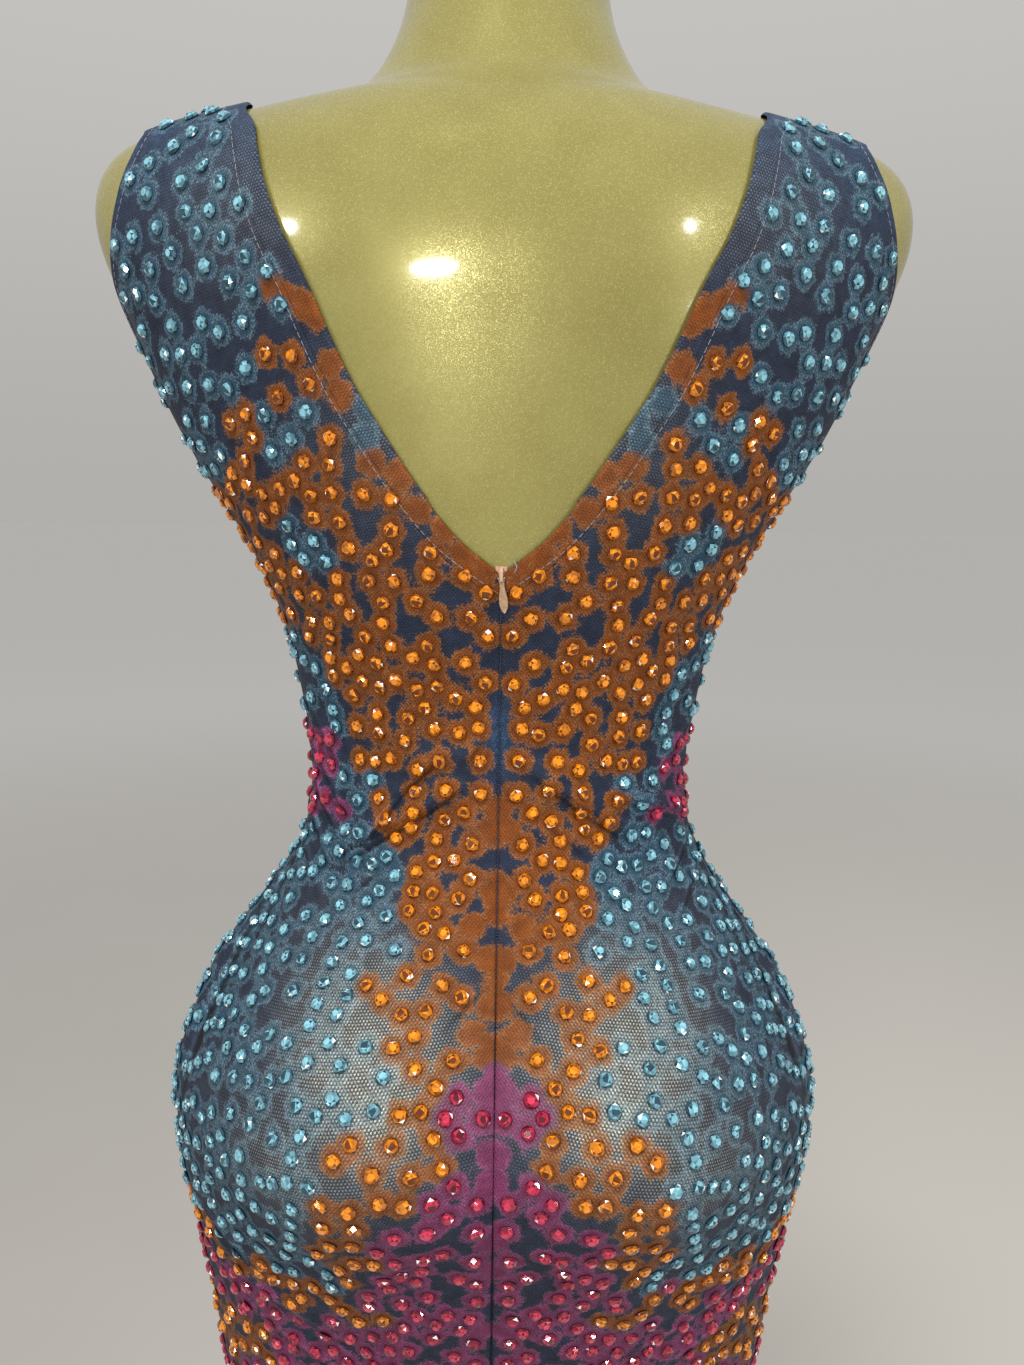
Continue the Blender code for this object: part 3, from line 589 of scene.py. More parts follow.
def cloth_at(panel, line, across):
    """Points of the cloth's outer face."""
    line, across = np.broadcast_arrays(np.asarray(line, float), np.asarray(across, float))
    angle, place = panel_places(panel, line, across)
    base = figure_point(angle, place, cloth=True)
    normal = outward(angle, place, cloth=True)
    width = row_value(panel["width"], line)
    from_outer = width * across
    from_inner = width * (1 - across)
    along = row_value(panel["spots"], line)
    outer_place = row_value(panel["lines"][:, 1], line)
    inner_place = row_value(panel["lines"][:, 3], line)
    behind = panel["back"] > 0
    armhole = outer_place > UNDERARM
    neck = inner_place > neck_start(panel)
    stand = EASE + CLOTH + fold_rise(base) + crease_rise(base) + ripple_rise(base)
    stand = np.maximum(stand, EASE + LEAST_STAND)
    to_shoulder = panel["spots"][-1] - along
    turned = EDGE_ROLL * np.clip(to_shoulder / SHOULDER_FADE, 0, 1)
    stand += curl(from_outer, np.where(armhole, turned, SIDE_ROLL), np.where(armhole, EDGE_WIDTH, SIDE_WIDTH))
    if behind:
        stand += curl(from_inner, np.where(neck, turned, ZIP_ROLL), np.where(neck, EDGE_WIDTH, ZIP_WIDTH))
    else:
        stand += curl(from_inner, np.where(neck, turned, .0), EDGE_WIDTH)
    stand += curl(along, HEM_ROLL, EDGE_WIDTH) + curl(to_shoulder, SHOULDER_ROLL, SHOULDER_WIDTH)
    points = base + normal * stand[..., None]
    open_corner = np.clip(1 - (V_FOOT - inner_place) / V_CORNER_PLACES, 0, 1) * (V_CORNER_HALF - SEAM_GAP / 2)
    slit = np.where(inner_place <= V_FOOT, SEAM_GAP / 2 + open_corner, V_CORNER_HALF)
    if behind:
        share = np.clip(1 - from_inner / SLIT_FADE, 0, 1)
        room = np.where(np.abs(points[..., 0]) < ZIP_HALF, slit * share, 0)
        points[..., 0] += panel["side"] * room
    points[..., 1] += panel["back"] * SEAM_GAP / 2 * np.clip(1 - from_outer / SEAM_FADE, 0, 1) * ~armhole
    return points


def cloth_frame(panel, line, across):
    """Points of the cloth with the directions across, along and out of it."""
    small_line, small_across = 0.4, 0.004
    points = cloth_at(panel, line, across)
    side = cloth_at(panel, line, across + small_across) - cloth_at(panel, line, across - small_across)
    up = cloth_at(panel, line + small_line, across) - cloth_at(panel, line - small_line, across)
    out = np.cross(side, up) * panel["side"] * panel["back"]
    out /= np.linalg.norm(out, axis=-1, keepdims=True)
    up -= out * np.sum(up * out, axis=-1, keepdims=True)
    up /= np.linalg.norm(up, axis=-1, keepdims=True)
    return points, np.cross(up, out), up, out


ARC_ANGLES = np.radians(np.linspace(0, 90, 91))
ARC_PLACES = np.linspace(0, 21.5, 431)


def arc_table(back):
    """Distance round the form from the centre line, by place and angle."""
    points = figure_point(ARC_ANGLES[None, :] * back + ARC_PLACES[:, None] * 0,
                          ARC_PLACES[:, None] + ARC_ANGLES[None, :] * 0, cloth=True)
    steps = np.linalg.norm(np.diff(points, axis=1), axis=-1)
    return np.concatenate([np.cumsum(steps[:, ::-1], axis=1)[:, ::-1], steps[:, :1] * 0], axis=1)


ARCS = {+1: arc_table(+1), -1: arc_table(-1)}
RISE = run_lengths(figure_point(ARC_PLACES * 0 + math.pi / 4, ARC_PLACES, cloth=True))


def flat_place(panel, line, across):
    """Where a point of the cloth lies in the flat net, in metres."""
    angle, place = panel_places(panel, line, across)
    if panel["side"] < 0:
        angle = np.pi - angle
    column = np.clip(np.degrees(np.abs(angle)), 0, 90 - 1e-6)
    row = np.clip(place / (ARC_PLACES[1] - ARC_PLACES[0]), 0, len(ARC_PLACES) - 1.001)
    i, j = np.floor(row).astype(int), np.floor(column).astype(int)
    s, t = row - i, column - j
    arcs = ARCS[panel["back"]]
    arc = ((arcs[i, j] * (1 - t) + arcs[i, j + 1] * t) * (1 - s)
           + (arcs[i + 1, j] * (1 - t) + arcs[i + 1, j + 1] * t) * s)
    return np.stack([panel["side"] * arc, np.interp(place, ARC_PLACES, RISE)], -1)


def colour_at(points):
    """The colour field that each place lies in."""
    folded = points.copy()
    folded[..., 0] = np.abs(folded[..., 0])
    wobble = .0035 * waves(folded[..., (0, 2)], .016, 21)
    colour = np.full(points.shape[:-1], AQUA)
    for row in FIELDS:
        at = dict(zip(FIELD_COLUMNS, row))
        distance, along = stroke_distance(folded, at["x0"], at["z0"], at["x1"], at["z1"])
        share = np.clip(along, 0, 1)
        inside = distance + wobble < at["reach0"] * (1 - share) + at["reach1"] * share
        if at["side"]:
            inside &= at["side"] * points[..., 1] > 0
        colour[inside] = at["colour"]
    return colour


def scatter_stones(panel, seed):
    """Lines and shares across for stones: beside the zip, in winding chains, then lone."""
    random = np.random.default_rng(seed)
    count = len(panel["lines"])
    tries = STONE_TRIES
    line = random.uniform(1, count - 2, tries)
    across = random.uniform(0, 1, tries)
    width = row_value(panel["width"], line)
    flat = flat_place(panel, line, across)
    points = cloth_at(panel, line, across)
    behind = panel["back"] > 0
    armhole = row_value(panel["lines"][:, 1], line) > UNDERARM
    neck = row_value(panel["lines"][:, 3], line) > neck_start(panel)
    outer_room = np.where(armhole, STONE_ROOM["armhole"], STONE_ROOM["side"])
    plain = (points[:, 2] > PLAIN_FOOT) & (points[:, 2] < PLAIN_TOP)
    zip_room = np.where(plain, STONE_ROOM["column"], STONE_ROOM["zip"])
    inner_room = np.where(neck, STONE_ROOM["neck"], zip_room if behind else STONE_ROOM["fold"])
    along = row_value(panel["spots"], line)
    room_for_stone = (width * across > outer_room) & (width * (1 - across) > inner_room)
    room_for_stone &= (along > STONE_ROOM["hem"]) & (panel["spots"][-1] - along > STONE_ROOM["shoulder"])
    folded = np.abs(flat[:, 0])
    place = np.stack([folded, flat[:, 1]], -1)
    chained = np.abs(waves(place, CHAIN_SIZE, 31 + seed, 14)) < CHAIN_HALF
    room = STONE_SPACING * (1 + SPACING_JITTER * random.uniform(-1, 1, tries))
    room *= 1 + STRAP_SPACING * np.clip((points[:, 2] - STRAP_RISE[0]) / STRAP_RISE[1], 0, 1)
    room = np.where(chained, room, room * LONE_SPACING)
    cells = {}
    size = room.max()
    kept = []
    bare = (points[:, 2] < BAND_TOP) | (colour_at(points) == AMBER)
    allowed = room_for_stone | ((neck | armhole) & bare) | (points[:, 2] < PLAIN_TOP)
    beside_zip = behind & room_for_stone & ~neck & ~plain & (width * (1 - across) < ZIP_STRIP)
    room[beside_zip] = STONE_SPACING * random.uniform(*ZIP_SPREAD, beside_zip.sum())
    turns = beside_zip, chained & ~beside_zip, ~chained & ~beside_zip
    for i in np.concatenate([np.flatnonzero(allowed & turn) for turn in turns]):
        x, y = flat[i]
        cx, cy = int(x // size), int(y // size)
        near = [j for dx in (-1, 0, 1) for dy in (-1, 0, 1) for j in cells.get((cx + dx, cy + dy), ())]
        if all((flat[j, 0] - x)**2 + (flat[j, 1] - y)**2 > room[i]**2 for j in near):
            cells.setdefault((cx, cy), []).append(i)
            kept.append(i)
    kept = np.array(kept)
    return line[kept], across[kept], room_for_stone[kept]


def new_object(name, points, faces, materials, smooth=True):
    mesh = bpy.data.meshes.new(name)
    mesh.from_pydata(np.asarray(points).tolist(), [], faces)
    mesh.update()
    for material in materials:
        mesh.materials.append(material)
    mesh.polygons.foreach_set("use_smooth", [smooth] * len(mesh.polygons))
    thing = bpy.data.objects.new(name, mesh)
    bpy.context.scene.collection.objects.link(thing)
    return thing


def set_values(thing, name, values, domain="POINT"):
    layer = thing.data.attributes.new(name, "FLOAT", domain)
    layer.data.foreach_set("value", np.asarray(values, np.float32).ravel())


def set_flat_map(thing, flat):
    """UV map in metres, so that every weave has its real size."""
    mesh = thing.data
    corners = np.empty(len(mesh.loops), int)
    mesh.loops.foreach_get("vertex_index", corners)
    layer = mesh.uv_layers.new(name="flat")
    layer.data.foreach_set("uv", np.asarray(flat, np.float32)[corners].ravel())


def grid_faces(rows, columns, flip):
    a = (np.arange(rows - 1)[:, None] * columns + np.arange(columns - 1)[None, :]).ravel()
    quads = np.stack([a, a + 1, a + columns + 1, a + columns], -1)
    return (quads[:, ::-1] if flip else quads).tolist()


def panel_grid(panel):
    """Points and flat places of a whole panel, row by row."""
    rows = len(panel["lines"])
    line = np.arange(rows)[:, None]
    spots = np.stack([edge_spots(width, panel["columns"]) / width for width in panel["width"]])
    points = cloth_at(panel, line, spots)
    flat = flat_place(panel, line + spots * 0, spots)
    return points, flat


def polyline_tree(lines):
    """A search tree of points close together along polylines."""
    points = []
    for line in lines:
        arc = run_lengths(line)
        spots = np.arange(0, arc[-1], SPOT_PITCH)
        points.append(np.stack([np.interp(spots, arc, line[:, k]) for k in range(3)], -1))
    return point_tree(np.concatenate(points))


def point_tree(points):
    tree = kdtree.KDTree(len(points))
    for i, point in enumerate(points):
        tree.insert(point, i)
    tree.balance()
    return tree


def edge_lines_of(panel):
    """Polylines of a panel's neck and armhole edges, in that order."""
    rows = np.arange(len(panel["lines"]))
    armhole = rows[panel["lines"][:, 1] >= UNDERARM]
    neck = rows[panel["lines"][:, 3] >= neck_start(panel)]
    return cloth_at(panel, neck, 1.0), cloth_at(panel, armhole, 0.0)


# How stretched the net is, which also places the painted highlight
def stretch_and_highlight_at(points):
    amount = np.zeros(points.shape[:-1])
    for row in STRETCHES_AND_HIGHLIGHTS:
        at = dict(zip(STRETCH_COLUMNS, row))
        reach = ((np.abs(points[..., 0]) - at["x"]) / at["width"])**2
        reach = reach + ((points[..., 2] - at["z"]) / at["height"])**2
        side = np.clip(at["side"] * points[..., 1] / .02, 0, 1)
        amount = np.maximum(amount, at["amount"] * side * np.exp(-reach))
    return amount


def centre_places(heights):
    """Places down the form's centre back that lie at the given heights."""
    return np.interp(heights, figure_point(ARC_PLACES * 0 + math.pi / 2, ARC_PLACES)[:, 2], ARC_PLACES)


def centre_column():
    """Print down the centre back, which carries no stones."""
    rows = []
    places = centre_places(np.arange(PLAIN_FOOT, PLAIN_TOP, COLUMN_PITCH))
    points = figure_point(places * 0 + math.pi / 2, places, cloth=True)
    for point in points:
        if all(abs(point[2] - z) > half for z, half in LOZENGES):
            rows.append(point)
    return np.array(rows)


def patch_rings(points):
    """Printed places of the amber patch that crosses the neck band."""
    folded = np.abs(points[:, 0])
    return np.array([points[np.argmin((folded - x)**2 + (points[:, 2] - z)**2)] for x, z in PATCH_SPOTS])


def print_values(points, stones, colours):
    """Distance from the nearest printed ring's middle, and the ring's colour shares."""
    tree = point_tree(stones)
    near = np.empty((len(points), 5))
    which = np.empty((len(points), 5), int)
    for i, point in enumerate(points):
        for k, (_, index, distance) in enumerate(tree.find_n(point, 5)):
            near[i, k] = distance
            which[i, k] = index
    soft = .0009
    smallest = near[:, :1]
    merged = smallest[:, 0] - soft * np.log(np.exp(-(near - smallest) / soft).sum(axis=1)) * .75
    weight = np.exp(-(near - smallest) / .0006)
    weight /= weight.sum(axis=1, keepdims=True)
    share = [(weight * (colours[which] == colour)).sum(axis=1) for colour in (AMBER, ROSE)]
    return merged, share[0], share[1]


def set_input(tree, socket, value):
    """Link a socket into another, or give it a number or colour."""
    if isinstance(value, bpy.types.NodeSocket):
        tree.links.new(value, socket)
    else:
        socket.default_value = value


def add_node(tree, kind, inputs=None, **settings):
    node = tree.nodes.new(kind)
    for name, value in settings.items():
        setattr(node, name, value)
    for name, value in (inputs or {}).items():
        set_input(tree, node.inputs[name], value)
    return node


def calc(tree, operation, *values):
    """A Math node on numbers or sockets."""
    return add_node(tree, "ShaderNodeMath", dict(enumerate(values)), operation=operation).outputs[0]


def ramp(tree, value, low, high, start=0.0, end=1.0):
    """A smooth step from start to end while value goes from low to high."""
    return add_node(tree, "ShaderNodeMapRange", {
        "Value": value, "From Min": low, "From Max": high, "To Min": start, "To Max": end,
    }, interpolation_type="SMOOTHSTEP").outputs["Result"]


def blend_colours(tree, share, first, second, how="MIX"):
    node = add_node(tree, "ShaderNodeMix", data_type="RGBA", blend_type=how)
    for number, value in ((0, share), (6, first), (7, second)):
        set_input(tree, node.inputs[number], value)
    return node.outputs[2]


def noise(tree, place, scale, detail=2.0, roughness=0.5):
    return add_node(tree, "ShaderNodeTexNoise", {
        "Vector": place, "Scale": scale, "Detail": detail, "Roughness": roughness,
    }).outputs["Fac"]


def reading(tree, name):
    return add_node(tree, "ShaderNodeAttribute", attribute_name=name).outputs["Fac"]


def new_group(name, inputs, outputs):
    group = bpy.data.node_groups.new(name, "ShaderNodeTree")
    for socket, kind in inputs:
        group.interface.new_socket(socket, in_out="INPUT", socket_type="NodeSocket" + kind)
    for socket, kind in outputs:
        group.interface.new_socket(socket, in_out="OUTPUT", socket_type="NodeSocket" + kind)
    return group, group.nodes.new("NodeGroupInput").outputs, group.nodes.new("NodeGroupOutput").inputs


def place_group(tree, group, **inputs):
    node = tree.nodes.new("ShaderNodeGroup")
    node.node_tree = group
    for name, value in inputs.items():
        set_input(tree, node.inputs[name], value)
    return node.outputs


def net_group():
    """Six-sided holes of warp-knitted net, from a flat place in metres."""
    tree, given, result = new_group(
        "net", [("Place", "Vector"), ("Pitch", "Float")], [("Hole", "Float"), ("Thread", "Float"), ("Rib", "Float")])
    mirrored = add_node(tree, "ShaderNodeVectorMath", {0: given["Place"]}, operation="ABSOLUTE").outputs[0]
    split = add_node(tree, "ShaderNodeSeparateXYZ", {"Vector": mirrored}).outputs
    drift = noise(tree, mirrored, 60.0)
    total = None
    for turn in (20, 80, 140):
        a, b = math.cos(math.radians(turn)), math.sin(math.radians(turn))
        along = calc(tree, "ADD", calc(tree, "MULTIPLY", split[0], a), calc(tree, "MULTIPLY", split[1], b))
        phase = calc(tree, "DIVIDE", calc(tree, "MULTIPLY", along, math.tau), given["Pitch"])
        phase = calc(tree, "ADD", phase, calc(tree, "MULTIPLY", drift, 3.0))
        wave = calc(tree, "COSINE", phase)
        total = wave if total is None else calc(tree, "ADD", total, wave)
    tree.links.new(ramp(tree, total, 0.1, 1.1), result["Hole"])
    tree.links.new(ramp(tree, total, -1.2, 0.6, 1.0, 0.0), result["Thread"])
    slant = calc(tree, "ADD", calc(tree, "MULTIPLY", split[0], 0.80), calc(tree, "MULTIPLY", split[1], 0.60))
    phase = calc(tree, "ADD", calc(tree, "MULTIPLY", slant, math.tau / NET_PITCH), calc(tree, "MULTIPLY", drift, 5.0))
    tree.links.new(calc(tree, "SINE", phase), result["Rib"])
    return tree


def ragged_ring_group():
    """A printed ring with a torn, fibrous edge, from a distance in millimetres."""
    tree, given, result = new_group(
        "ragged_ring", [("Place", "Vector"), ("Distance", "Float"), ("Reach", "Float")],
        [("Fill", "Float"), ("Rim", "Float")])
    fibre = calc(tree, "SUBTRACT", noise(tree, given["Place"], 820.0, 4.0, 0.8), 0.5)
    lobe = calc(tree, "SUBTRACT", noise(tree, given["Place"], 190.0, 1.0), 0.5)
    shift = calc(tree, "ADD", calc(tree, "MULTIPLY", fibre, 8.5), calc(tree, "MULTIPLY", lobe, 5.0))
    distance = calc(tree, "SUBTRACT", calc(tree, "ADD", given["Distance"], shift), given["Reach"])
    tree.links.new(ramp(tree, distance, -0.4, 0.5, 1.0, 0.0), result["Fill"])
    rise = ramp(tree, distance, -2.2, -0.3)
    fall = ramp(tree, distance, 0.1, 0.9, 1.0, 0.0)
    hairs = ramp(tree, noise(tree, given["Place"], 950.0, 3.0, 0.75), 0.42, 0.60, 0.05, 1.0)
    inside = ramp(tree, distance, -3.4, 1.2, 0.10, 0.55)
    fringe = calc(tree, "MAXIMUM", calc(tree, "MULTIPLY", rise, fall), calc(tree, "MULTIPLY", inside, fall))
    tree.links.new(calc(tree, "MULTIPLY", fringe, hairs), result["Rim"])
    return tree


def flake_group():
    """Metal flakes in paint: tilted normals and scattered bright specks."""
    tree, given, result = new_group(
        "metal_flake", [("Scale", "Float"), ("Tilt", "Float")], [("Normal", "Vector"), ("Speck", "Float")])
    place = add_node(tree, "ShaderNodeTexCoord").outputs["Object"]
    cell = add_node(tree, "ShaderNodeTexVoronoi", {"Vector": place, "Scale": given["Scale"]})
    away = add_node(tree, "ShaderNodeVectorMath", {0: cell.outputs["Color"], 1: (0.5, 0.5, 0.5)},
                    operation="SUBTRACT").outputs[0]
    tilted = add_node(tree, "ShaderNodeVectorMath", {0: away}, operation="SCALE")
    tree.links.new(given["Tilt"], tilted.inputs["Scale"])
    normal = add_node(tree, "ShaderNodeNewGeometry").outputs["Normal"]
    total = add_node(tree, "ShaderNodeVectorMath", {0: normal, 1: tilted.outputs[0]}, operation="ADD")
    unit = add_node(tree, "ShaderNodeVectorMath", {0: total.outputs[0]}, operation="NORMALIZE")
    tree.links.new(unit.outputs[0], result["Normal"])
    split = add_node(tree, "ShaderNodeSeparateColor", {"Color": cell.outputs["Color"]}).outputs
    tree.links.new(split[0], result["Speck"])
    return tree


def grain_group():
    """Even fine grain for metal, tape and moulded pieces."""
    tree, given, result = new_group(
        "fine_grain", [("Scale", "Float"), ("Stretch", "Vector")], [("Grain", "Float")])
    place = add_node(tree, "ShaderNodeTexCoord").outputs["Object"]
    drawn = add_node(tree, "ShaderNodeVectorMath", {0: place, 1: given["Stretch"]}, operation="MULTIPLY")
    grain = add_node(tree, "ShaderNodeTexNoise", {
        "Vector": drawn.outputs[0], "Scale": given["Scale"], "Detail": 4.0})
    tree.links.new(grain.outputs["Fac"], result["Grain"])
    return tree


GROUPS = {"net": net_group(), "ring": ragged_ring_group(), "flake": flake_group(), "grain": grain_group()}


def new_material(name, sockets):
    """A material with a Principled shader whose plain sockets are set directly."""
    material = bpy.data.materials.new(name)
    material.use_nodes = True
    tree = material.node_tree
    shader = tree.nodes["Principled BSDF"]
    for socket, value in sockets.items():
        shader.inputs[socket].default_value = value
    return material, tree, shader


def feed(tree, shader, **sockets):
    for name, value in sockets.items():
        tree.links.new(value, shader.inputs[name.replace("_", " ")])


def bump(tree, height, distance, strength=1.0, normal=None):
    node = add_node(tree, "ShaderNodeBump", {"Height": height, "Distance": distance, "Strength": strength})
    if normal is not None:
        tree.links.new(normal, node.inputs["Normal"])
    return node.outputs["Normal"]


NAVY = (.015, .021, .040, 1)
BLUE = (.028, .064, .125, 1)
FILLS = ((.015, .043, .074, 1), (.142, .036, .005, 1), (.130, .023, .070, 1))
RIMS = ((.104, .172, .214, 1), (.232, .098, .033, 1), (.190, .062, .134, 1))
# Painted highlight of the lit gold form seen through the stretched net
PAINTED_FORM_HIGHLIGHT = (.780, .770, .610, 1)


def printed_net(name):
    """Printed power net: rings of three colours on navy, see-through where stretched. A pale painted highlight of the
    form lies where it is stretched, painted shade and highlights lie along the creases, and painted light lies on the
    shoulder tops.
    """
    material, tree, shader = new_material(name, {
        "Specular IOR Level": .20})
    flat = add_node(tree, "ShaderNodeUVMap", uv_map="flat").outputs["UV"]
    ring = place_group(tree, GROUPS["ring"], Place=flat, Distance=reading(tree, "ring_distance"),
                       Reach=HALO_REACH * 1000)
    amber, rose, stretch = (reading(tree, n) for n in ("amber_share", "rose_share", "stretch"))
    fill = blend_colours(tree, rose, blend_colours(tree, amber, FILLS[AQUA], FILLS[AMBER]), FILLS[ROSE])
    rim = blend_colours(tree, rose, blend_colours(tree, amber, RIMS[AQUA], RIMS[AMBER]), RIMS[ROSE])
    patchy = ramp(tree, noise(tree, flat, 620.0, 2.0, 0.7), 0.40, 0.60, 0.30, 1.0)
    # Lighter blue: printed beside the zip, and painted light on the shoulder tops
    ground = blend_colours(tree, calc(tree, "MULTIPLY", reading(tree, "blue_print_and_top_light"), patchy), NAVY, BLUE)
    mottle = ramp(tree, noise(tree, flat, 130.0, 4.0, 0.6), 0.30, 0.72, 0.74, 1.16)
    weave = ramp(tree, noise(tree, flat, 1500.0, 2.0, 0.6), 0.32, 0.68, 0.78, 1.22)
    mottle = calc(tree, "MULTIPLY", mottle, weave)
    colour = blend_colours(tree, ring["Fill"], ground, fill)
    colour = blend_colours(tree, calc(tree, "MULTIPLY", ring["Rim"], 0.90), colour, rim)
    net = place_group(tree, GROUPS["net"], Place=flat, Pitch=NET_PITCH)
    # Painted highlight: pale colour laid into the stretched net's holes, standing for the form's glint through them
    painted_highlight_share = calc(tree, "MULTIPLY", stretch, calc(tree, "ADD", calc(tree, "MULTIPLY", net["Hole"], 0.86), 0.08))
    warm = calc(tree, "MULTIPLY", calc(tree, "ADD", amber, rose), ring["Fill"])
    painted_highlight_share = calc(tree, "MULTIPLY", painted_highlight_share, ramp(tree, warm, 0.0, 1.0, 1.0, 0.42))
    colour = blend_colours(tree, painted_highlight_share, colour, PAINTED_FORM_HIGHLIGHT)
    rib_share = calc(tree, "ADD", calc(tree, "MULTIPLY", stretch, 0.30), 0.14)
    ribs = calc(tree, "ADD", calc(tree, "MULTIPLY", net["Rib"], rib_share), 1.0)
    # Painted crease shade and highlight: darker at the foot of each steep side, brighter on the crests
    crease = reading(tree, "crease")
    folded = calc(tree, "MULTIPLY", ramp(tree, crease, -1.0, 0.0, 0.30, 1.0), ramp(tree, crease, 0.1, 1.0, 1.0, 1.60))
    shade = calc(tree, "MULTIPLY", calc(tree, "MULTIPLY", mottle, folded), ribs)
    grey = add_node(tree, "ShaderNodeCombineColor", {"Red": shade, "Green": shade, "Blue": shade})
    colour = blend_colours(tree, 1.0, colour, grey.outputs[0], "MULTIPLY")
    hem = reading(tree, "hem_depth")
    open_share = calc(tree, "ADD", calc(tree, "MULTIPLY", stretch, 0.40), 0.18)
    open_share = calc(tree, "MULTIPLY", open_share, ramp(tree, hem, 0.85, 1.0))
    alpha = calc(tree, "SUBTRACT", 1.0, calc(tree, "MULTIPLY", net["Hole"], open_share))
    line = ramp(tree, calc(tree, "ABSOLUTE", calc(tree, "SUBTRACT", hem, 1.0)), 0.0, 0.09, -1.0, 0.0)
    height = calc(tree, "ADD", calc(tree, "MULTIPLY", net["Thread"], 0.35), line)
    feed(tree, shader, Base_Color=colour, Alpha=alpha, Normal=bump(tree, height, .0004, .7),
         Roughness=ramp(tree, crease, 0.2, 1.0, .60, .34))
    return material


def gold_paint(name):
    """Moulded form sprayed with gold flake under clear lacquer."""
    material, tree, shader = new_material(name, {
        "Metallic": .45, "Coat Weight": .75, "Coat Roughness": .11})
    flake = place_group(tree, GROUPS["flake"], Scale=3200.0, Tilt=.09)
    place = add_node(tree, "ShaderNodeTexCoord").outputs["Object"]
    cloud = ramp(tree, noise(tree, place, 26.0, 3.0), 0.3, 0.7)
    colour = blend_colours(tree, cloud, (.262, .228, .060, 1), (.298, .264, .077, 1))
    bright = ramp(tree, flake["Speck"], 0.75, 1.0, 0.0, 0.55)
    colour = blend_colours(tree, bright, colour, (.540, .490, .200, 1))
    feed(tree, shader, Base_Color=colour, Normal=flake["Normal"],
         Roughness=ramp(tree, flake["Speck"], 0.0, 1.0, .50, .30))
    return material


# Shaded and lit colour of each stone, between which the painted facet light blends
STONE_SHADED_AND_LIT_COLOURS = (
    ((.005, .028, .050, 1), (.240, .540, .640, 1)),
    ((.085, .014, .000, 1), (.920, .290, .006, 1)),
    ((.070, .001, .010, 1), (.600, .030, .085, 1)),
)


def cut_glass(name, colours):
    """Foil-backed cut stone: each facet is as bright as its own attribute says, which paints its reflections, white
    glints and dark shade, and a faint painted glow is added.
    """
    # Emission paints a faint glow in the stone's own colour
    material, tree, shader = new_material(name, {
        "Roughness": .12, "Metallic": .25, "Coat Weight": .6, "Coat Roughness": .03,
        "IOR": 1.50, "Emission Strength": .04})
    facet = reading(tree, "facet")
    colour = blend_colours(tree, ramp(tree, facet, 0.0, 0.8), colours[0], colours[1])
    # White painted glints on the facets with the highest painted light
    colour = blend_colours(tree, ramp(tree, facet, 0.88, 1.0), colour, (.90, .92, .90, 1))
    feed(tree, shader, Base_Color=colour, Emission_Color=colour)
    return material


def plain_finish(name, colour, dark, roughness, metallic, scale, stretch=(1, 1, 1), rough_span=.12,
                 depth=.00005):
    """One colour with fine grain in tone, gloss and height."""
    material, tree, shader = new_material(name, {"Metallic": metallic})
    grain = place_group(tree, GROUPS["grain"], Scale=scale, Stretch=stretch)["Grain"]
    tone = blend_colours(tree, ramp(tree, grain, 0.3, 0.7), dark, colour)
    feed(tree, shader, Base_Color=tone, Normal=bump(tree, grain, depth),
         Roughness=ramp(tree, grain, 0.2, 0.8, roughness, roughness + rough_span))
    return material


def form_shell(material):
    """The display form: a smooth closed shell from thighs to neck."""
    columns, rows = 150, 210
    angle = np.linspace(0, 2 * np.pi, columns, endpoint=False)[None, :]
    place = np.linspace(FORM_END, len(RINGS) - 1, rows)[:, None]
    points = figure_point(angle + place * 0, place + angle * 0)
    foot = points[0].mean(axis=0)
    top = points[-1].mean(axis=0)
    under = [foot + (points[0] - foot) * share - (0, 0, drop)
             for share, drop in ((0.2, .0090), (0.4, .0090), (.90, .0085), (.955, .0068), (.985, .0035))]
    over = [top + (points[-1] - top) * share + (0, 0, rise)
            for share, rise in ((.985, .0020), (.94, .0036), (.86, .0040), (.40, .0040))]
    rings = np.concatenate([under, points, over])
    total = len(rings)
    j = np.arange(columns)
    a = np.arange(total - 1)[:, None] * columns
    quads = np.stack([a + j, a + (j + 1) % columns, a + columns + (j + 1) % columns, a + columns + j], -1)
    faces = quads.reshape(-1, 4).tolist()
    faces.append(list(range(columns))[::-1])
    faces.append(list(range((total - 1) * columns, total * columns)))
    shell = new_object("form_shell", rings.reshape(-1, 3), faces, [material])
    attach(shell, BODY)
    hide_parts("torso_form")


# Cut of a stone: rings of radius, height, corners and turn, from the seat to the table
STONE_RINGS = (
    (0.90, 0.00, 12, 0.0), (1.00, 0.20, 12, 0.0), (0.84, 0.62, 6, 0.5), (0.50, 1.00, 6, 0.0),
)


def stone_shape():
    """Points, triangles and the kind of each facet of one cut stone."""
    points, starts = [], []
    for radius, height, corners, turn in STONE_RINGS:
        starts.append(len(points))
        for i in range(corners):
            angle = math.tau * (i + turn) / corners
            points.append((radius * math.cos(angle), radius * math.sin(angle), height))
    faces, kinds = [], []
    low, girdle, mid, table = starts
    for i in range(12):
        n = (i + 1) % 12
        faces += [(low + i, low + n, girdle + n), (low + i, girdle + n, girdle + i)]
        kinds += [0, 0]
    for i in range(6):
        a, b, c = girdle + 2 * i, girdle + 2 * i + 1, girdle + (2 * i + 2) % 12
        m, m_next = mid + i, mid + (i + 1) % 6
        t, t_next = table + i, table + (i + 1) % 6
        faces += [(a, b, m), (b, c, m), (c, m_next, m)]
        kinds += [1, 1, 2]
        faces += [(m, t_next, t), (m, m_next, t_next)]
        kinds += [2, 3]
    for i in range(1, 5):
        faces.append((table, table + i, table + i + 1))
        kinds.append(4)
    return np.array(points), faces, np.array(kinds)


# Painted reflections of the foil: share of stones with a dark table, chances of a white glint, and the range of painted
# brightness for each kind of facet
PAINTED_DARK_TABLES = 0.44
PAINTED_GLINT_CHANCES = (.48, .22)
PAINTED_FACET_LIGHT = ((.00, .04), (.00, .26), (.05, .50), (.20, .82), (.34, .82))


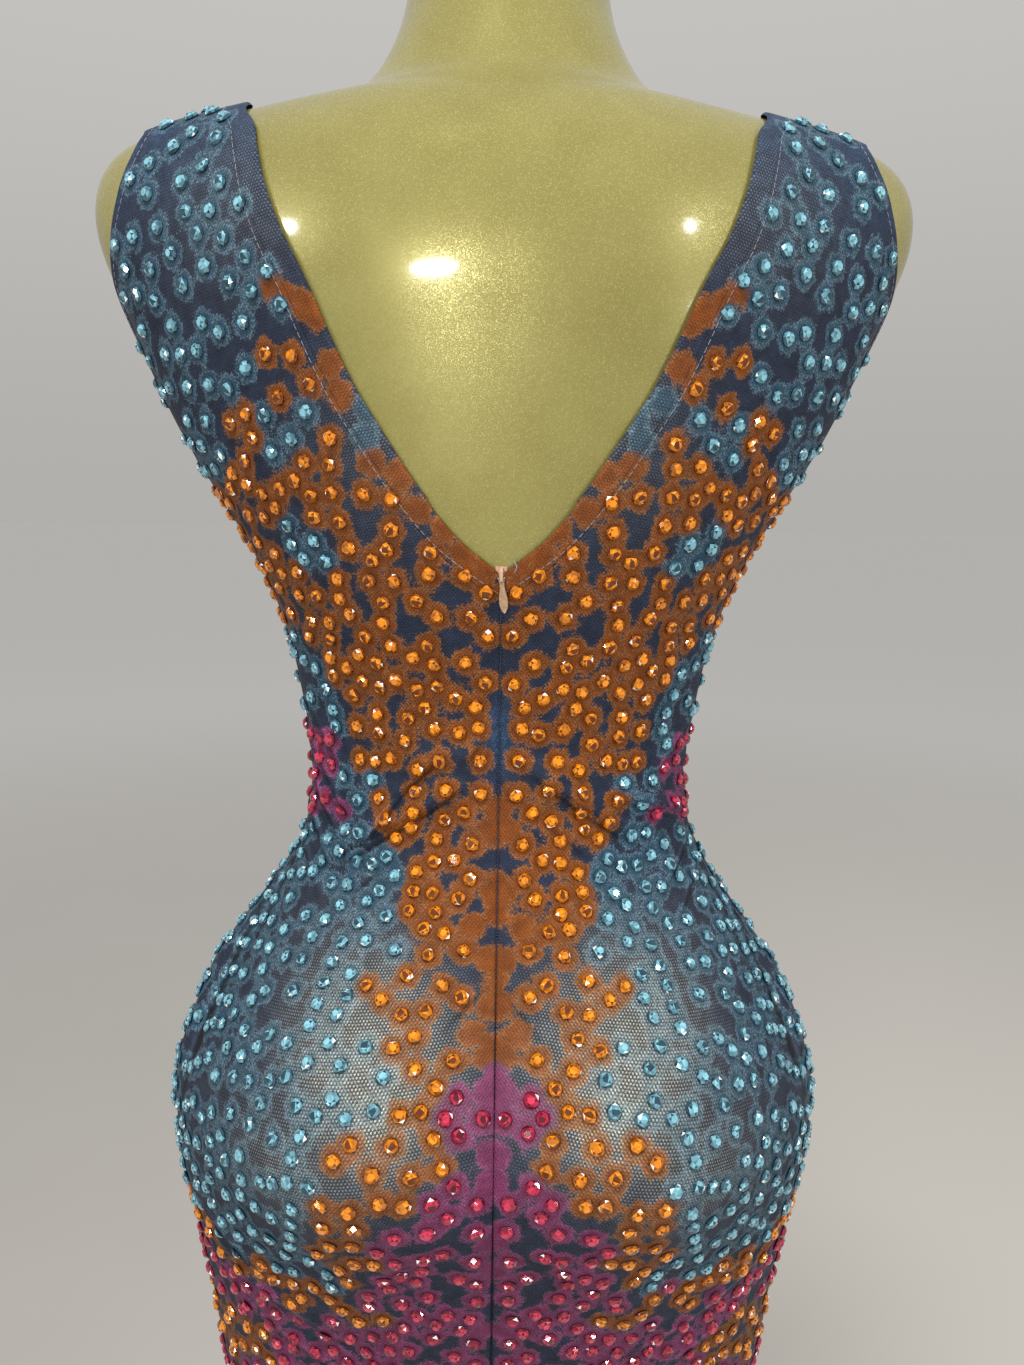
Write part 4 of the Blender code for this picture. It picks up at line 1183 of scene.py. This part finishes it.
def stones_object(name, panel, line, across, colours, materials, seed):
    """All the stones of one panel as one piece."""
    random = np.random.default_rng(seed)
    shape, faces, kinds = stone_shape()
    points, side, up, out = cloth_frame(panel, line, across)
    count = len(points)
    spin = random.uniform(0, math.tau, count)
    size = STONE_RADIUS * random.uniform(.93, 1.05, count)
    tip = random.normal(0, .05, (count, 2))
    out = out + side * tip[:, :1] + up * tip[:, 1:]
    out /= np.linalg.norm(out, axis=-1, keepdims=True)
    first = side * np.cos(spin)[:, None] + up * np.sin(spin)[:, None]
    second = np.cross(out, first)
    first = np.cross(second, out)
    placed = (points[:, None, :]
              + (shape[None, :, 0:1] * first[:, None] + shape[None, :, 1:2] * second[:, None]) * size[:, None, None]
              + shape[None, :, 2:3] * STONE_HEIGHT * out[:, None] - .0001 * out[:, None])
    index = (np.array(faces)[None] + np.arange(count)[:, None, None] * len(shape)).reshape(-1, 3)
    thing = new_object(name, placed.reshape(-1, 3), index.tolist(), materials, smooth=False)
    # Painted light of each facet: its brightness, dark tables and white glints
    low, high = np.array(PAINTED_FACET_LIGHT)[kinds].T
    tone = low + (high - low) * random.uniform(0, 1, (count, len(kinds)))
    painted_dark_table = random.uniform(0, 1, count) < PAINTED_DARK_TABLES
    tone[np.ix_(painted_dark_table, np.flatnonzero(kinds == 4)[:3])] *= .15
    tone[np.ix_(painted_dark_table, kinds == 3)] *= 1.2
    tone = np.minimum(tone, .82)
    for chance in PAINTED_GLINT_CHANCES:
        painted_glint = random.uniform(0, 1, count) < chance
        facet = random.integers(24, len(kinds) - 4, count)
        tone[np.arange(count)[painted_glint], facet[painted_glint]] = 1.0
    set_values(thing, "facet", tone, "FACE")
    thing.data.polygons.foreach_set("material_index", np.repeat(colours, len(kinds)))
    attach(thing, BODY)
    return thing


def seam_allowances(panels, material):
    """Neatened cloth edges behind the seams, seen as a dark line in each gap."""
    points, faces = [], []
    behind = panels["back_left"]
    lines = behind["lines"]
    heights = figure_point(np.full(len(lines), np.pi / 2), lines[:, 3])[:, 2]
    below_zip = lines[(heights < ZIP_END) & (lines[:, 2] >= 90 - 1e-6), 3][::3]
    below_arm = lines[lines[:, 1] < UNDERARM, 1][::3]
    runs = [(np.full(len(below_zip), np.pi / 2), below_zip)]
    runs += [(np.full(len(below_arm), angle), below_arm) for angle in (0.0, np.pi)]
    shoulder = np.linspace(*SHOULDER_RUN, 24)
    runs += [(np.full(24, angle), shoulder) for angle in (0.0, np.pi)]
    for angle, place in runs:
        base = figure_point(angle, place, cloth=True)
        out = outward(angle, place, cloth=True)
        run = np.gradient(base, axis=0)
        run /= np.linalg.norm(run, axis=-1, keepdims=True)
        across = np.cross(run, out)
        start = len(points)
        for k in range(len(base)):
            for share in (-1, 0, 1):
                points.append(base[k] + across[k] * share * ALLOWANCE + out[k] * ALLOWANCE_STAND)
        faces += [(start + a, start + b, start + c, start + d) for a, b, c, d in grid_faces(len(base), 3, False)]
    strips = new_object("seam_allowances", points, faces, [material])
    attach(strips, BODY)
    return strips


def stitch_rows(panel, which, offset):
    """Points and frames of a line at an even distance inside an edge."""
    rows = np.arange(len(panel["lines"]))
    behind = panel["back"] > 0
    if which == "hem":
        across = np.linspace(.004, .996, 160)
        line = np.full(160, np.interp(offset, panel["spots"], rows))
        return cloth_frame(panel, line, across)
    if which == "neck":
        rows = rows[panel["lines"][:, 3] >= neck_start(panel)]
        edge, inside = 1.0, -1
    else:
        rows = rows[panel["lines"][:, 1] >= UNDERARM]
        edge, inside = 0.0, 1
    rows = rows[:-1]
    width = panel["width"][rows]
    at_edge = cloth_at(panel, rows, edge)
    tangent = np.gradient(at_edge, axis=0)
    tangent /= np.linalg.norm(tangent, axis=-1, keepdims=True)
    in_row = cloth_at(panel, rows, edge + inside * .004) - at_edge
    in_row /= np.linalg.norm(in_row, axis=-1, keepdims=True)
    square = np.linalg.norm(np.cross(in_row, tangent), axis=-1)
    across = edge + inside * offset / np.clip(square, .35, 1) / width
    rows = rows.astype(float)
    if which == "neck" and behind:
        reach = (1 - across[0]) * width[0] * abs(tangent[6, 2] / tangent[6, 0])
        low = np.interp(row_value(panel["spots"], rows[0]) - reach, panel["spots"], np.arange(len(panel["lines"])))
        extra = np.linspace(low, rows[0], 12, endpoint=False)
        share = (extra - low) / (rows[0] - low)
        rows = np.concatenate([extra, rows])
        across = np.concatenate([1 - (1 - across[0]) * share, across])
    return cloth_frame(panel, rows, across)


def stitches(name, runs, material):
    """Short threads laid along lines on the cloth."""
    points, faces = [], []
    for place, _, _, out in runs:
        arc = run_lengths(place)
        starts = np.arange(.0012, arc[-1] - STITCH, STITCH_PITCH)
        for start in starts:
            spots = start + STITCH * np.array([0, .22, .78, 1])
            line = np.stack([np.interp(spots, arc, place[:, k]) for k in range(3)], -1)
            up = np.array([np.interp(start, arc, out[:, k]) for k in range(3)])
            run = line[-1] - line[0]
            run /= np.linalg.norm(run)
            across = np.cross(run, up)
            base = len(points)
            for spot, lift in zip(line, (-.9, .55, .55, -.9)):
                for a, b in ((1, 0), (0, 1), (-1, 0), (0, -1)):
                    points.append(spot + THREAD_RADIUS * (a * across + (b + lift) * up))
            for k in range(3):
                for j in range(4):
                    a, b = base + 4 * k + j, base + 4 * k + (j + 1) % 4
                    faces.append((a, b, b + 4, a + 4))
    thing = new_object(name, points, faces, [material])
    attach(thing, BODY)
    return thing


def zip_axes():
    """Axes at the foot of the V: across, out of the form, and up its surface."""
    angle, place = np.array(math.pi / 2), np.array(V_FOOT)
    out = Vector(outward(angle, place, cloth=True))
    axes = Matrix.Identity(4)
    axes.col[1][:3] = out
    axes.col[2][:3] = Vector((1, 0, 0)).cross(out)
    axes.col[3][:3] = figure_point(angle, place, cloth=True)
    axes.col[3][0] = 0.0
    return axes


def ring_tube(centres, frames, radius, sides, closed=False):
    """Points and faces of a round wire along centres."""
    points, faces = [], []
    for centre, (first, second) in zip(centres, frames):
        for k in range(sides):
            turn = math.tau * k / sides
            points.append(centre + radius * (first * math.cos(turn) + second * math.sin(turn)))
    count = len(centres)
    for i in range(count if closed else count - 1):
        for k in range(sides):
            a, b = i * sides + k, i * sides + (k + 1) % sides
            c, d = ((i + 1) % count) * sides + (k + 1) % sides, ((i + 1) % count) * sides + k
            faces.append((a, b, c, d))
    if not closed:
        faces.append(tuple(range(sides))[::-1])
        faces.append(tuple(range((count - 1) * sides, count * sides)))
    return points, faces


# The pull's shares of its length and width, and how far in and out its rim runs
PULL_OUTLINE = (
    (.00, .58), (.08, .54), (.18, .56), (.30, .68), (.44, .86), (.56, .97), (.66, 1.0), (.76, .93),
    (.85, .76), (.92, .54), (.97, .32), (1.0, .10),
)
PULL_SECTION = (
    (.55, -.36), (.22, -.46), (.05, -.40), (.0, -.22), (.0, .22), (.05, .40), (.22, .46), (.55, .36),
)


def zip_pull(material):
    """Teardrop tab with a rounded rim, two arms and the pin that it turns on."""
    lean = math.radians(6)
    blade_top = -(PIN_RADIUS + GAP + BRIDGE_WIRE + GAP)
    down = np.linspace(0, 1, 30)
    half = np.interp(down, *np.array(PULL_OUTLINE).T) * PULL_WIDTH / 2
    z = blade_top + (-PULL_LENGTH - blade_top) * down
    outline = np.concatenate([np.stack([half, z], -1), np.stack([-half, z], -1)[::-1]])
    middle = np.stack([outline[:, 0] * 0, outline[:, 1] * .94 + z.mean() * .06], -1)
    rings = []
    for inset, y in PULL_SECTION:
        flat = outline + (middle - outline) * inset
        rings.append(np.stack([flat[:, 0], flat[:, 0] * 0 + y * PULL_THICK, flat[:, 1]], -1))
    count = len(outline)
    points = np.concatenate(rings)
    faces = []
    for i in range(len(rings) - 1):
        for j in range(count):
            a, b = i * count + j, i * count + (j + 1) % count
            faces.append((a, a + count, b + count, b))
    for ring, flip in ((0, False), (len(rings) - 1, True)):
        for j in range(count // 2 - 1):
            quad = (ring * count + j, ring * count + j + 1,
                    ring * count + count - 2 - j, ring * count + count - 1 - j)
            faces.append(quad[::-1] if flip else quad)
    parts = [(points, faces)]
    arm_x = PIN_LENGTH / 2 - .0007
    for sign in (-1, 1):
        heights = np.linspace(0, blade_top - .0006, 6)
        centres = [np.array((sign * (arm_x - .0003 * (i / 5)**2), 0, h)) for i, h in enumerate(heights)]
        frames = [(np.array((1.0, 0, 0)), np.array((0, 1.0, 0)))] * 6
        parts.append(ring_tube(centres, frames, .00036, 8))
    centres = [np.array((x, 0, 0)) for x in np.linspace(-PIN_LENGTH / 2, PIN_LENGTH / 2, 5)]
    parts.append(ring_tube(centres, [(np.array((0, 1.0, 0)), np.array((0, 0, 1.0)))] * 5, PIN_RADIUS, 14))
    points, faces, base = [], [], 0
    for some, those in parts:
        points += [tuple(p) for p in some]
        faces += [tuple(v + base for v in face) for face in those]
        base = len(points)
    pull = new_object("zip_pull_tab", points, faces, [material])
    out, up = EASE + CLOTH + PIN_ROOM + PIN_RADIUS, SLIDER_ABOVE_V - PIN_DROP
    centre = zip_axes() @ Vector((0, out, up))
    pull.data.transform(Matrix.Translation(centre) @ Matrix.Rotation(lean, 4, "Y"))
    pull.data.set_sharp_from_angle(angle=math.radians(50))
    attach(pull, PULL_BODY)
    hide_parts("zip_pull")


def zip_coil(material):
    """Fine coil of the zip, seen in the slit between the two backs."""
    places = centre_places(np.arange(ZIP_END + .004, COIL_TOP, COIL_PITCH))
    angle = places * 0 + math.pi / 2
    centre = figure_point(angle, places, cloth=True)
    out = outward(angle, places, cloth=True)
    points, faces = [], []
    for i, (c, n) in enumerate(zip(centre, out)):
        sign = 1 if i % 2 else -1
        spots = [c + n * (EASE - .0001 + .00025 * math.sin(math.pi * t)) + np.array((sign * (t - .35) * .0016, 0, 0))
                 for t in (0, .5, 1)]
        side = np.cross(n, (1.0, 0, 0))
        some, those = ring_tube(spots, [(n, side)] * 3, .00026, 5)
        faces += [tuple(v + len(points) for v in face) for face in those]
        points += some
    coil = new_object("zip_coil", points, faces, [material])
    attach(coil, BODY)


def thread_loop(material):
    """Small loop of thread beside the top of the zip."""
    axes = zip_axes()
    centres, frames = [], []
    for t in np.linspace(0, 1, 15):
        x = -.0052 - .0012 * math.sin(math.pi * t)
        z = .0005 + .0052 * t
        y = EASE + CLOTH + .0004 + .0008 * math.sin(math.pi * t)
        centres.append(np.array(axes @ Vector((x, y, z))))
    for i in range(15):
        run = centres[min(i + 1, 14)] - centres[max(i - 1, 0)]
        run /= np.linalg.norm(run)
        first = np.cross(run, (0, 1.0, 0))
        first /= np.linalg.norm(first)
        frames.append((first, np.cross(run, first)))
    points, faces = ring_tube(centres, frames, .00028, 6)
    loop = new_object("thread_loop", points, faces, [material])
    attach(loop, BODY)


def dress(finishes):
    """Cloth, stones and stitches of every panel."""
    panels = {
        "back_left": make_panel(BACK_EDGES, +1, +1, BACK_STEP),
        "back_right": make_panel(BACK_EDGES, -1, +1, BACK_STEP),
        "front_left": make_panel(FRONT_EDGES, +1, -1, FRONT_STEP),
        "front_right": make_panel(FRONT_EDGES, -1, -1, FRONT_STEP),
    }
    stones, rings = {}, {}
    jitter = np.random.default_rng(5)
    for pair, seed in (("back", 3), ("front", 4)):
        line, across, seated = scatter_stones(panels[pair + "_left"], seed)
        stones[pair + "_left"] = (line[seated], across[seated])
        moved = line + jitter.normal(0, .25, len(line)), across + jitter.normal(0, .0025, len(line))
        stones[pair + "_right"] = (moved[0][seated], moved[1][seated])
        rings[pair + "_left"] = (line, across)
        rings[pair + "_right"] = moved
    colours = {name: colour_at(cloth_at(panels[name], *spots)) for name, spots in stones.items()}
    middles = []
    for name, spots in rings.items():
        place = cloth_at(panels[name], *spots)
        middles.append((place, colour_at(place)))
    column = centre_column()
    middles.append((column, colour_at(column)))
    for name in ("back_left", "back_right"):
        spots = patch_rings(panel_grid(panels[name])[0].reshape(-1, 3))
        middles.append((spots, np.full(len(spots), AMBER)))
    all_places = np.concatenate([place for place, _ in middles])
    all_colours = np.concatenate([colour for _, colour in middles])
    edges = [edge_lines_of(panel) for panel in panels.values()]
    neck_tree = polyline_tree([neck for neck, _ in edges])
    arm_tree = polyline_tree([arm for _, arm in edges])

    def finish_cloth(thing, points, flat):
        set_flat_map(thing, flat)
        distance, amber, rose = print_values(points, all_places, all_colours)
        set_values(thing, "ring_distance", distance * 1000)
        set_values(thing, "amber_share", amber)
        set_values(thing, "rose_share", rose)
        # Stretch, which also places the painted highlight
        set_values(thing, "stretch", stretch_and_highlight_at(points))
        # Painted crease shade and highlight for the net's colour
        set_values(thing, "crease", crease_shade_and_highlight(points))
        neck = np.array([neck_tree.find(p)[2] for p in points]) / NECK_HEM
        arm = np.array([arm_tree.find(p)[2] for p in points]) / ARM_HEM
        hem = (points[:, 2] - RINGS["hem"][3]) / SKIRT_HEM
        set_values(thing, "hem_depth", np.minimum(np.minimum(neck, arm), hem))
        # Blue ground: the printed blue patch beside the zip, and painted light rising over the tops of the shoulders
        patch = (points[:, 0] / BLUE_PATCH[2])**2 + ((points[:, 2] - BLUE_PATCH[0]) / BLUE_PATCH[1])**2
        blue = np.maximum(np.clip((points[:, 2] - 1.27) / .06, 0, 1) * .6, np.exp(-patch) * (points[:, 1] > 0))
        set_values(thing, "blue_print_and_top_light", blue)
        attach(thing, BODY)

    def trimmings(name):
        panel = panels[name]
        gems = stones_object("stones_" + name, panel, *stones[name], colours[name], finishes["stones"],
                             STONE_SEEDS[name])
        runs = [stitch_rows(panel, edge, depth)
                for edge, depth in (("neck", NECK_HEM), ("armhole", ARM_HEM), ("hem", SKIRT_HEM))]
        return [gems, stitches("stitches_" + name, runs, finishes["thread"])]

    for name, side in (("back_left", +1), ("back_right", -1)):
        panel = panels[name]
        points, flat = panel_grid(panel)
        rows, count = points.shape[:2]
        points, flat = points.reshape(-1, 3), flat.reshape(-1, 2)
        cloth = new_object("cloth_" + name, points, grid_faces(rows, count, side < 0), [finishes["net"]])
        finish_cloth(cloth, points, flat)
        pieces = trimmings(name)
        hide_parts(name)

    halves = [panel_grid(panels["front_left"]), panel_grid(panels["front_right"])]
    rows, count = halves[0][0].shape[:2]
    size = rows * count
    points = np.concatenate([half[0].reshape(-1, 3) for half in halves])
    flat = np.concatenate([half[1].reshape(-1, 2) for half in halves])
    joined = np.flatnonzero(panels["front_left"]["lines"][:, 2] >= 90 - 1e-6)
    number = np.arange(2 * size)
    last = joined * count + count - 1
    points[last, 0] = 0.0
    number[size + last] = last
    kept = np.ones(2 * size, bool)
    kept[size + last] = False
    renumber = np.cumsum(kept) - 1
    faces = np.concatenate([np.array(grid_faces(rows, count, True)), np.array(grid_faces(rows, count, False)) + size])
    faces = renumber[number[faces]]
    points, flat = points[kept], flat[kept]
    cloth = new_object("cloth_front", points, faces.tolist(), [finishes["net"]])
    finish_cloth(cloth, points, flat)
    pieces = trimmings("front_left") + trimmings("front_right")
    pieces.append(seam_allowances(panels, finishes["dark_cloth"]))
    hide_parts("front_panel")


CAMERA_PLACE = Vector((0.0, 0.52, 1.164))
CAMERA_TILT = math.radians(9.6)
CAMERA_ROLL = math.radians(0.75)
CAMERA_YAW = math.atan(12 / 1026)
CAMERA_LENS = 1026 / 1365 * 36


def make_camera():
    """Camera behind the dress, looking slightly down."""
    ahead = Vector((0, -math.cos(CAMERA_TILT), -math.sin(CAMERA_TILT)))
    right = Vector((-1, 0, 0))
    up = right.cross(ahead)
    aim = ahead * math.cos(CAMERA_YAW) + right * math.sin(CAMERA_YAW)
    right = right * math.cos(CAMERA_YAW) - ahead * math.sin(CAMERA_YAW)
    turned_right = right * math.cos(CAMERA_ROLL) + up * math.sin(CAMERA_ROLL)
    turned_up = up * math.cos(CAMERA_ROLL) - right * math.sin(CAMERA_ROLL)
    lens = bpy.data.cameras.new("camera")
    lens.lens = CAMERA_LENS
    lens.sensor_width = 36
    lens.clip_start = .01
    camera = bpy.data.objects.new("camera", lens)
    matrix = Matrix.Identity(4)
    matrix.col[0][:3] = turned_right
    matrix.col[1][:3] = turned_up
    matrix.col[2][:3] = -aim
    matrix.col[3][:3] = CAMERA_PLACE
    camera.matrix_world = matrix
    bpy.context.scene.collection.objects.link(camera)
    bpy.context.scene.camera = camera


def soft_light(name, place, target, size, power, mirrored=True):
    light = bpy.data.lights.new(name, "AREA")
    light.shape = "ELLIPSE"
    light.size, light.size_y = size
    light.energy = power
    thing = bpy.data.objects.new(name, light)
    thing.visible_glossy = mirrored
    thing.location = place
    thing.rotation_euler = (Vector(target) - Vector(place)).to_track_quat("-Z", "Y").to_euler()
    bpy.context.scene.collection.objects.link(thing)


def glint_place(angle, place, distance):
    """Where a lamp stands so that the camera sees it mirrored in the form."""
    angle, place = np.array(math.radians(angle)), np.array(place)
    point = Vector(figure_point(angle, place))
    normal = Vector(outward(angle, place))
    view = (CAMERA_PLACE - point).normalized()
    return point + (2 * normal.dot(view) * normal - view) * distance, point


def make_stage():
    """Pale floor with painted shade near the stand and painted light far off and towards -X, pale surround and soft
    lamps.
    """
    material, tree, shader = new_material("pale_floor", {"Roughness": .85})
    place = add_node(tree, "ShaderNodeTexCoord").outputs["Object"]
    away = add_node(tree, "ShaderNodeVectorMath", {0: place}, operation="LENGTH").outputs["Value"]
    # Painted shade near the stand, with random tone
    near = blend_colours(tree, noise(tree, place, 3.0, 3.0), (.400, .380, .355, 1), (.430, .410, .385, 1))
    sideways = add_node(tree, "ShaderNodeSeparateXYZ", {"Vector": place}).outputs[0]
    # Painted light towards -X
    near = blend_colours(tree, ramp(tree, sideways, -1.2, 0.6, 0.7, 0.0), near, (.560, .535, .490, 1))
    # Painted light far off, so the floor meets the surround at the horizon
    tone = blend_colours(tree, ramp(tree, away, 0.8, 6.0), near, (.800, .793, .782, 1))
    feed(tree, shader, Base_Color=tone)
    half = 60.0
    floor = new_object("floor", [(-half, -half, -.0005), (half, -half, -.0005), (half, half, -.0005),
                                 (-half, half, -.0005)], [(0, 1, 2, 3)], [material])
    world = bpy.data.worlds.new("surround")
    bpy.context.scene.world = world
    world.use_nodes = True
    tree = world.node_tree
    direction = add_node(tree, "ShaderNodeTexCoord").outputs["Generated"]
    height = add_node(tree, "ShaderNodeSeparateXYZ", {"Vector": direction}).outputs[2]
    shade = blend_colours(tree, ramp(tree, height, -0.02, 0.5), (.445, .432, .412, 1), (.56, .55, .53, 1))
    tree.links.new(shade, tree.nodes["Background"].inputs["Color"])
    for name, angle, spot, distance, size, power in (
            ("lamp_blade", 79, 16.65, 1.5, (.34, .13), 9),
            ("lamp_left", 57, 17.27, 1.5, (.07, .07), 2.2),
            ("lamp_right", 118, 17.33, 1.5, (.07, .07), 2.2),
            ("lamp_right_low", 120, 16.2, 1.5, (.05, .05), 1.2)):
        lamp, target = glint_place(angle, spot, distance)
        soft_light(name, lamp, target, size, power)
    soft_light("lamp_top", (0.35, 0.9, 2.8), (0, 0, 1.05), (.45, .45), 37, False)
    soft_light("lamp_side", (-1.5, 1.0, 1.7), (0, 0, 1.15), (.8, .8), 13, False)
    soft_light("lamp_low", (.5, 2.2, .9), (0, 0, .75), (.9, .9), 9, False)
    soft_light("lamp_front", (-.5, -1.6, 2.6), (0, 0, 1.0), (1.2, 1.2), 16, False)


def main():
    bpy.context.scene.view_settings.view_transform = "Standard"
    make_camera()
    finishes = {
        "net": printed_net("printed_net"),
        "stones": [cut_glass("stone_" + name, colours)
                   for name, colours in zip(("aqua", "amber", "rose"), STONE_SHADED_AND_LIT_COLOURS)],
        "thread": plain_finish("stitch_thread", (.26, .25, .28, 1), (.17, .17, .20, 1), .7, 0, 4000.0),
        "dark_cloth": plain_finish("seam_allowance_cloth", (.020, .028, .055, 1), (.010, .014, .030, 1), .8, 0, 3000.0),
        "gold": gold_paint("gold_flake_paint"),
        "tape": plain_finish("woven_tape", (.060, .075, .125, 1), (.030, .040, .075, 1), .75, 0, 2500.0,
                             (1, 1, 3), depth=.0001),
        "metal": plain_finish("slider_enamel", (.62, .40, .27, 1), (.50, .31, .20, 1), .35, .2, 1500.0),
        "pull": plain_finish("pull_enamel", (.30, .185, .105, 1), (.24, .145, .080, 1), .18, 0, 900.0),
        "steel": plain_finish("brushed_steel", (.60, .60, .61, 1), (.46, .46, .48, 1), .28, 1.0, 160.0,
                              (1, 1, .05)),
    }
    form_shell(finishes["gold"])
    dress(finishes)
    zip_pull(finishes["pull"])
    zip_coil(finishes["tape"])
    thread_loop(finishes["thread"])
    for node, finish in (("zip_tape_left", "tape"), ("zip_tape_right", "tape"), ("zip_slider", "metal"),
                         ("stand_flange", "steel"), ("stand_pole", "steel"), ("stand_collar", "steel"),
                         ("stand_base", "steel")):
        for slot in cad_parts[node].material_slots:
            slot.material = finishes[finish]
    make_stage()


main()
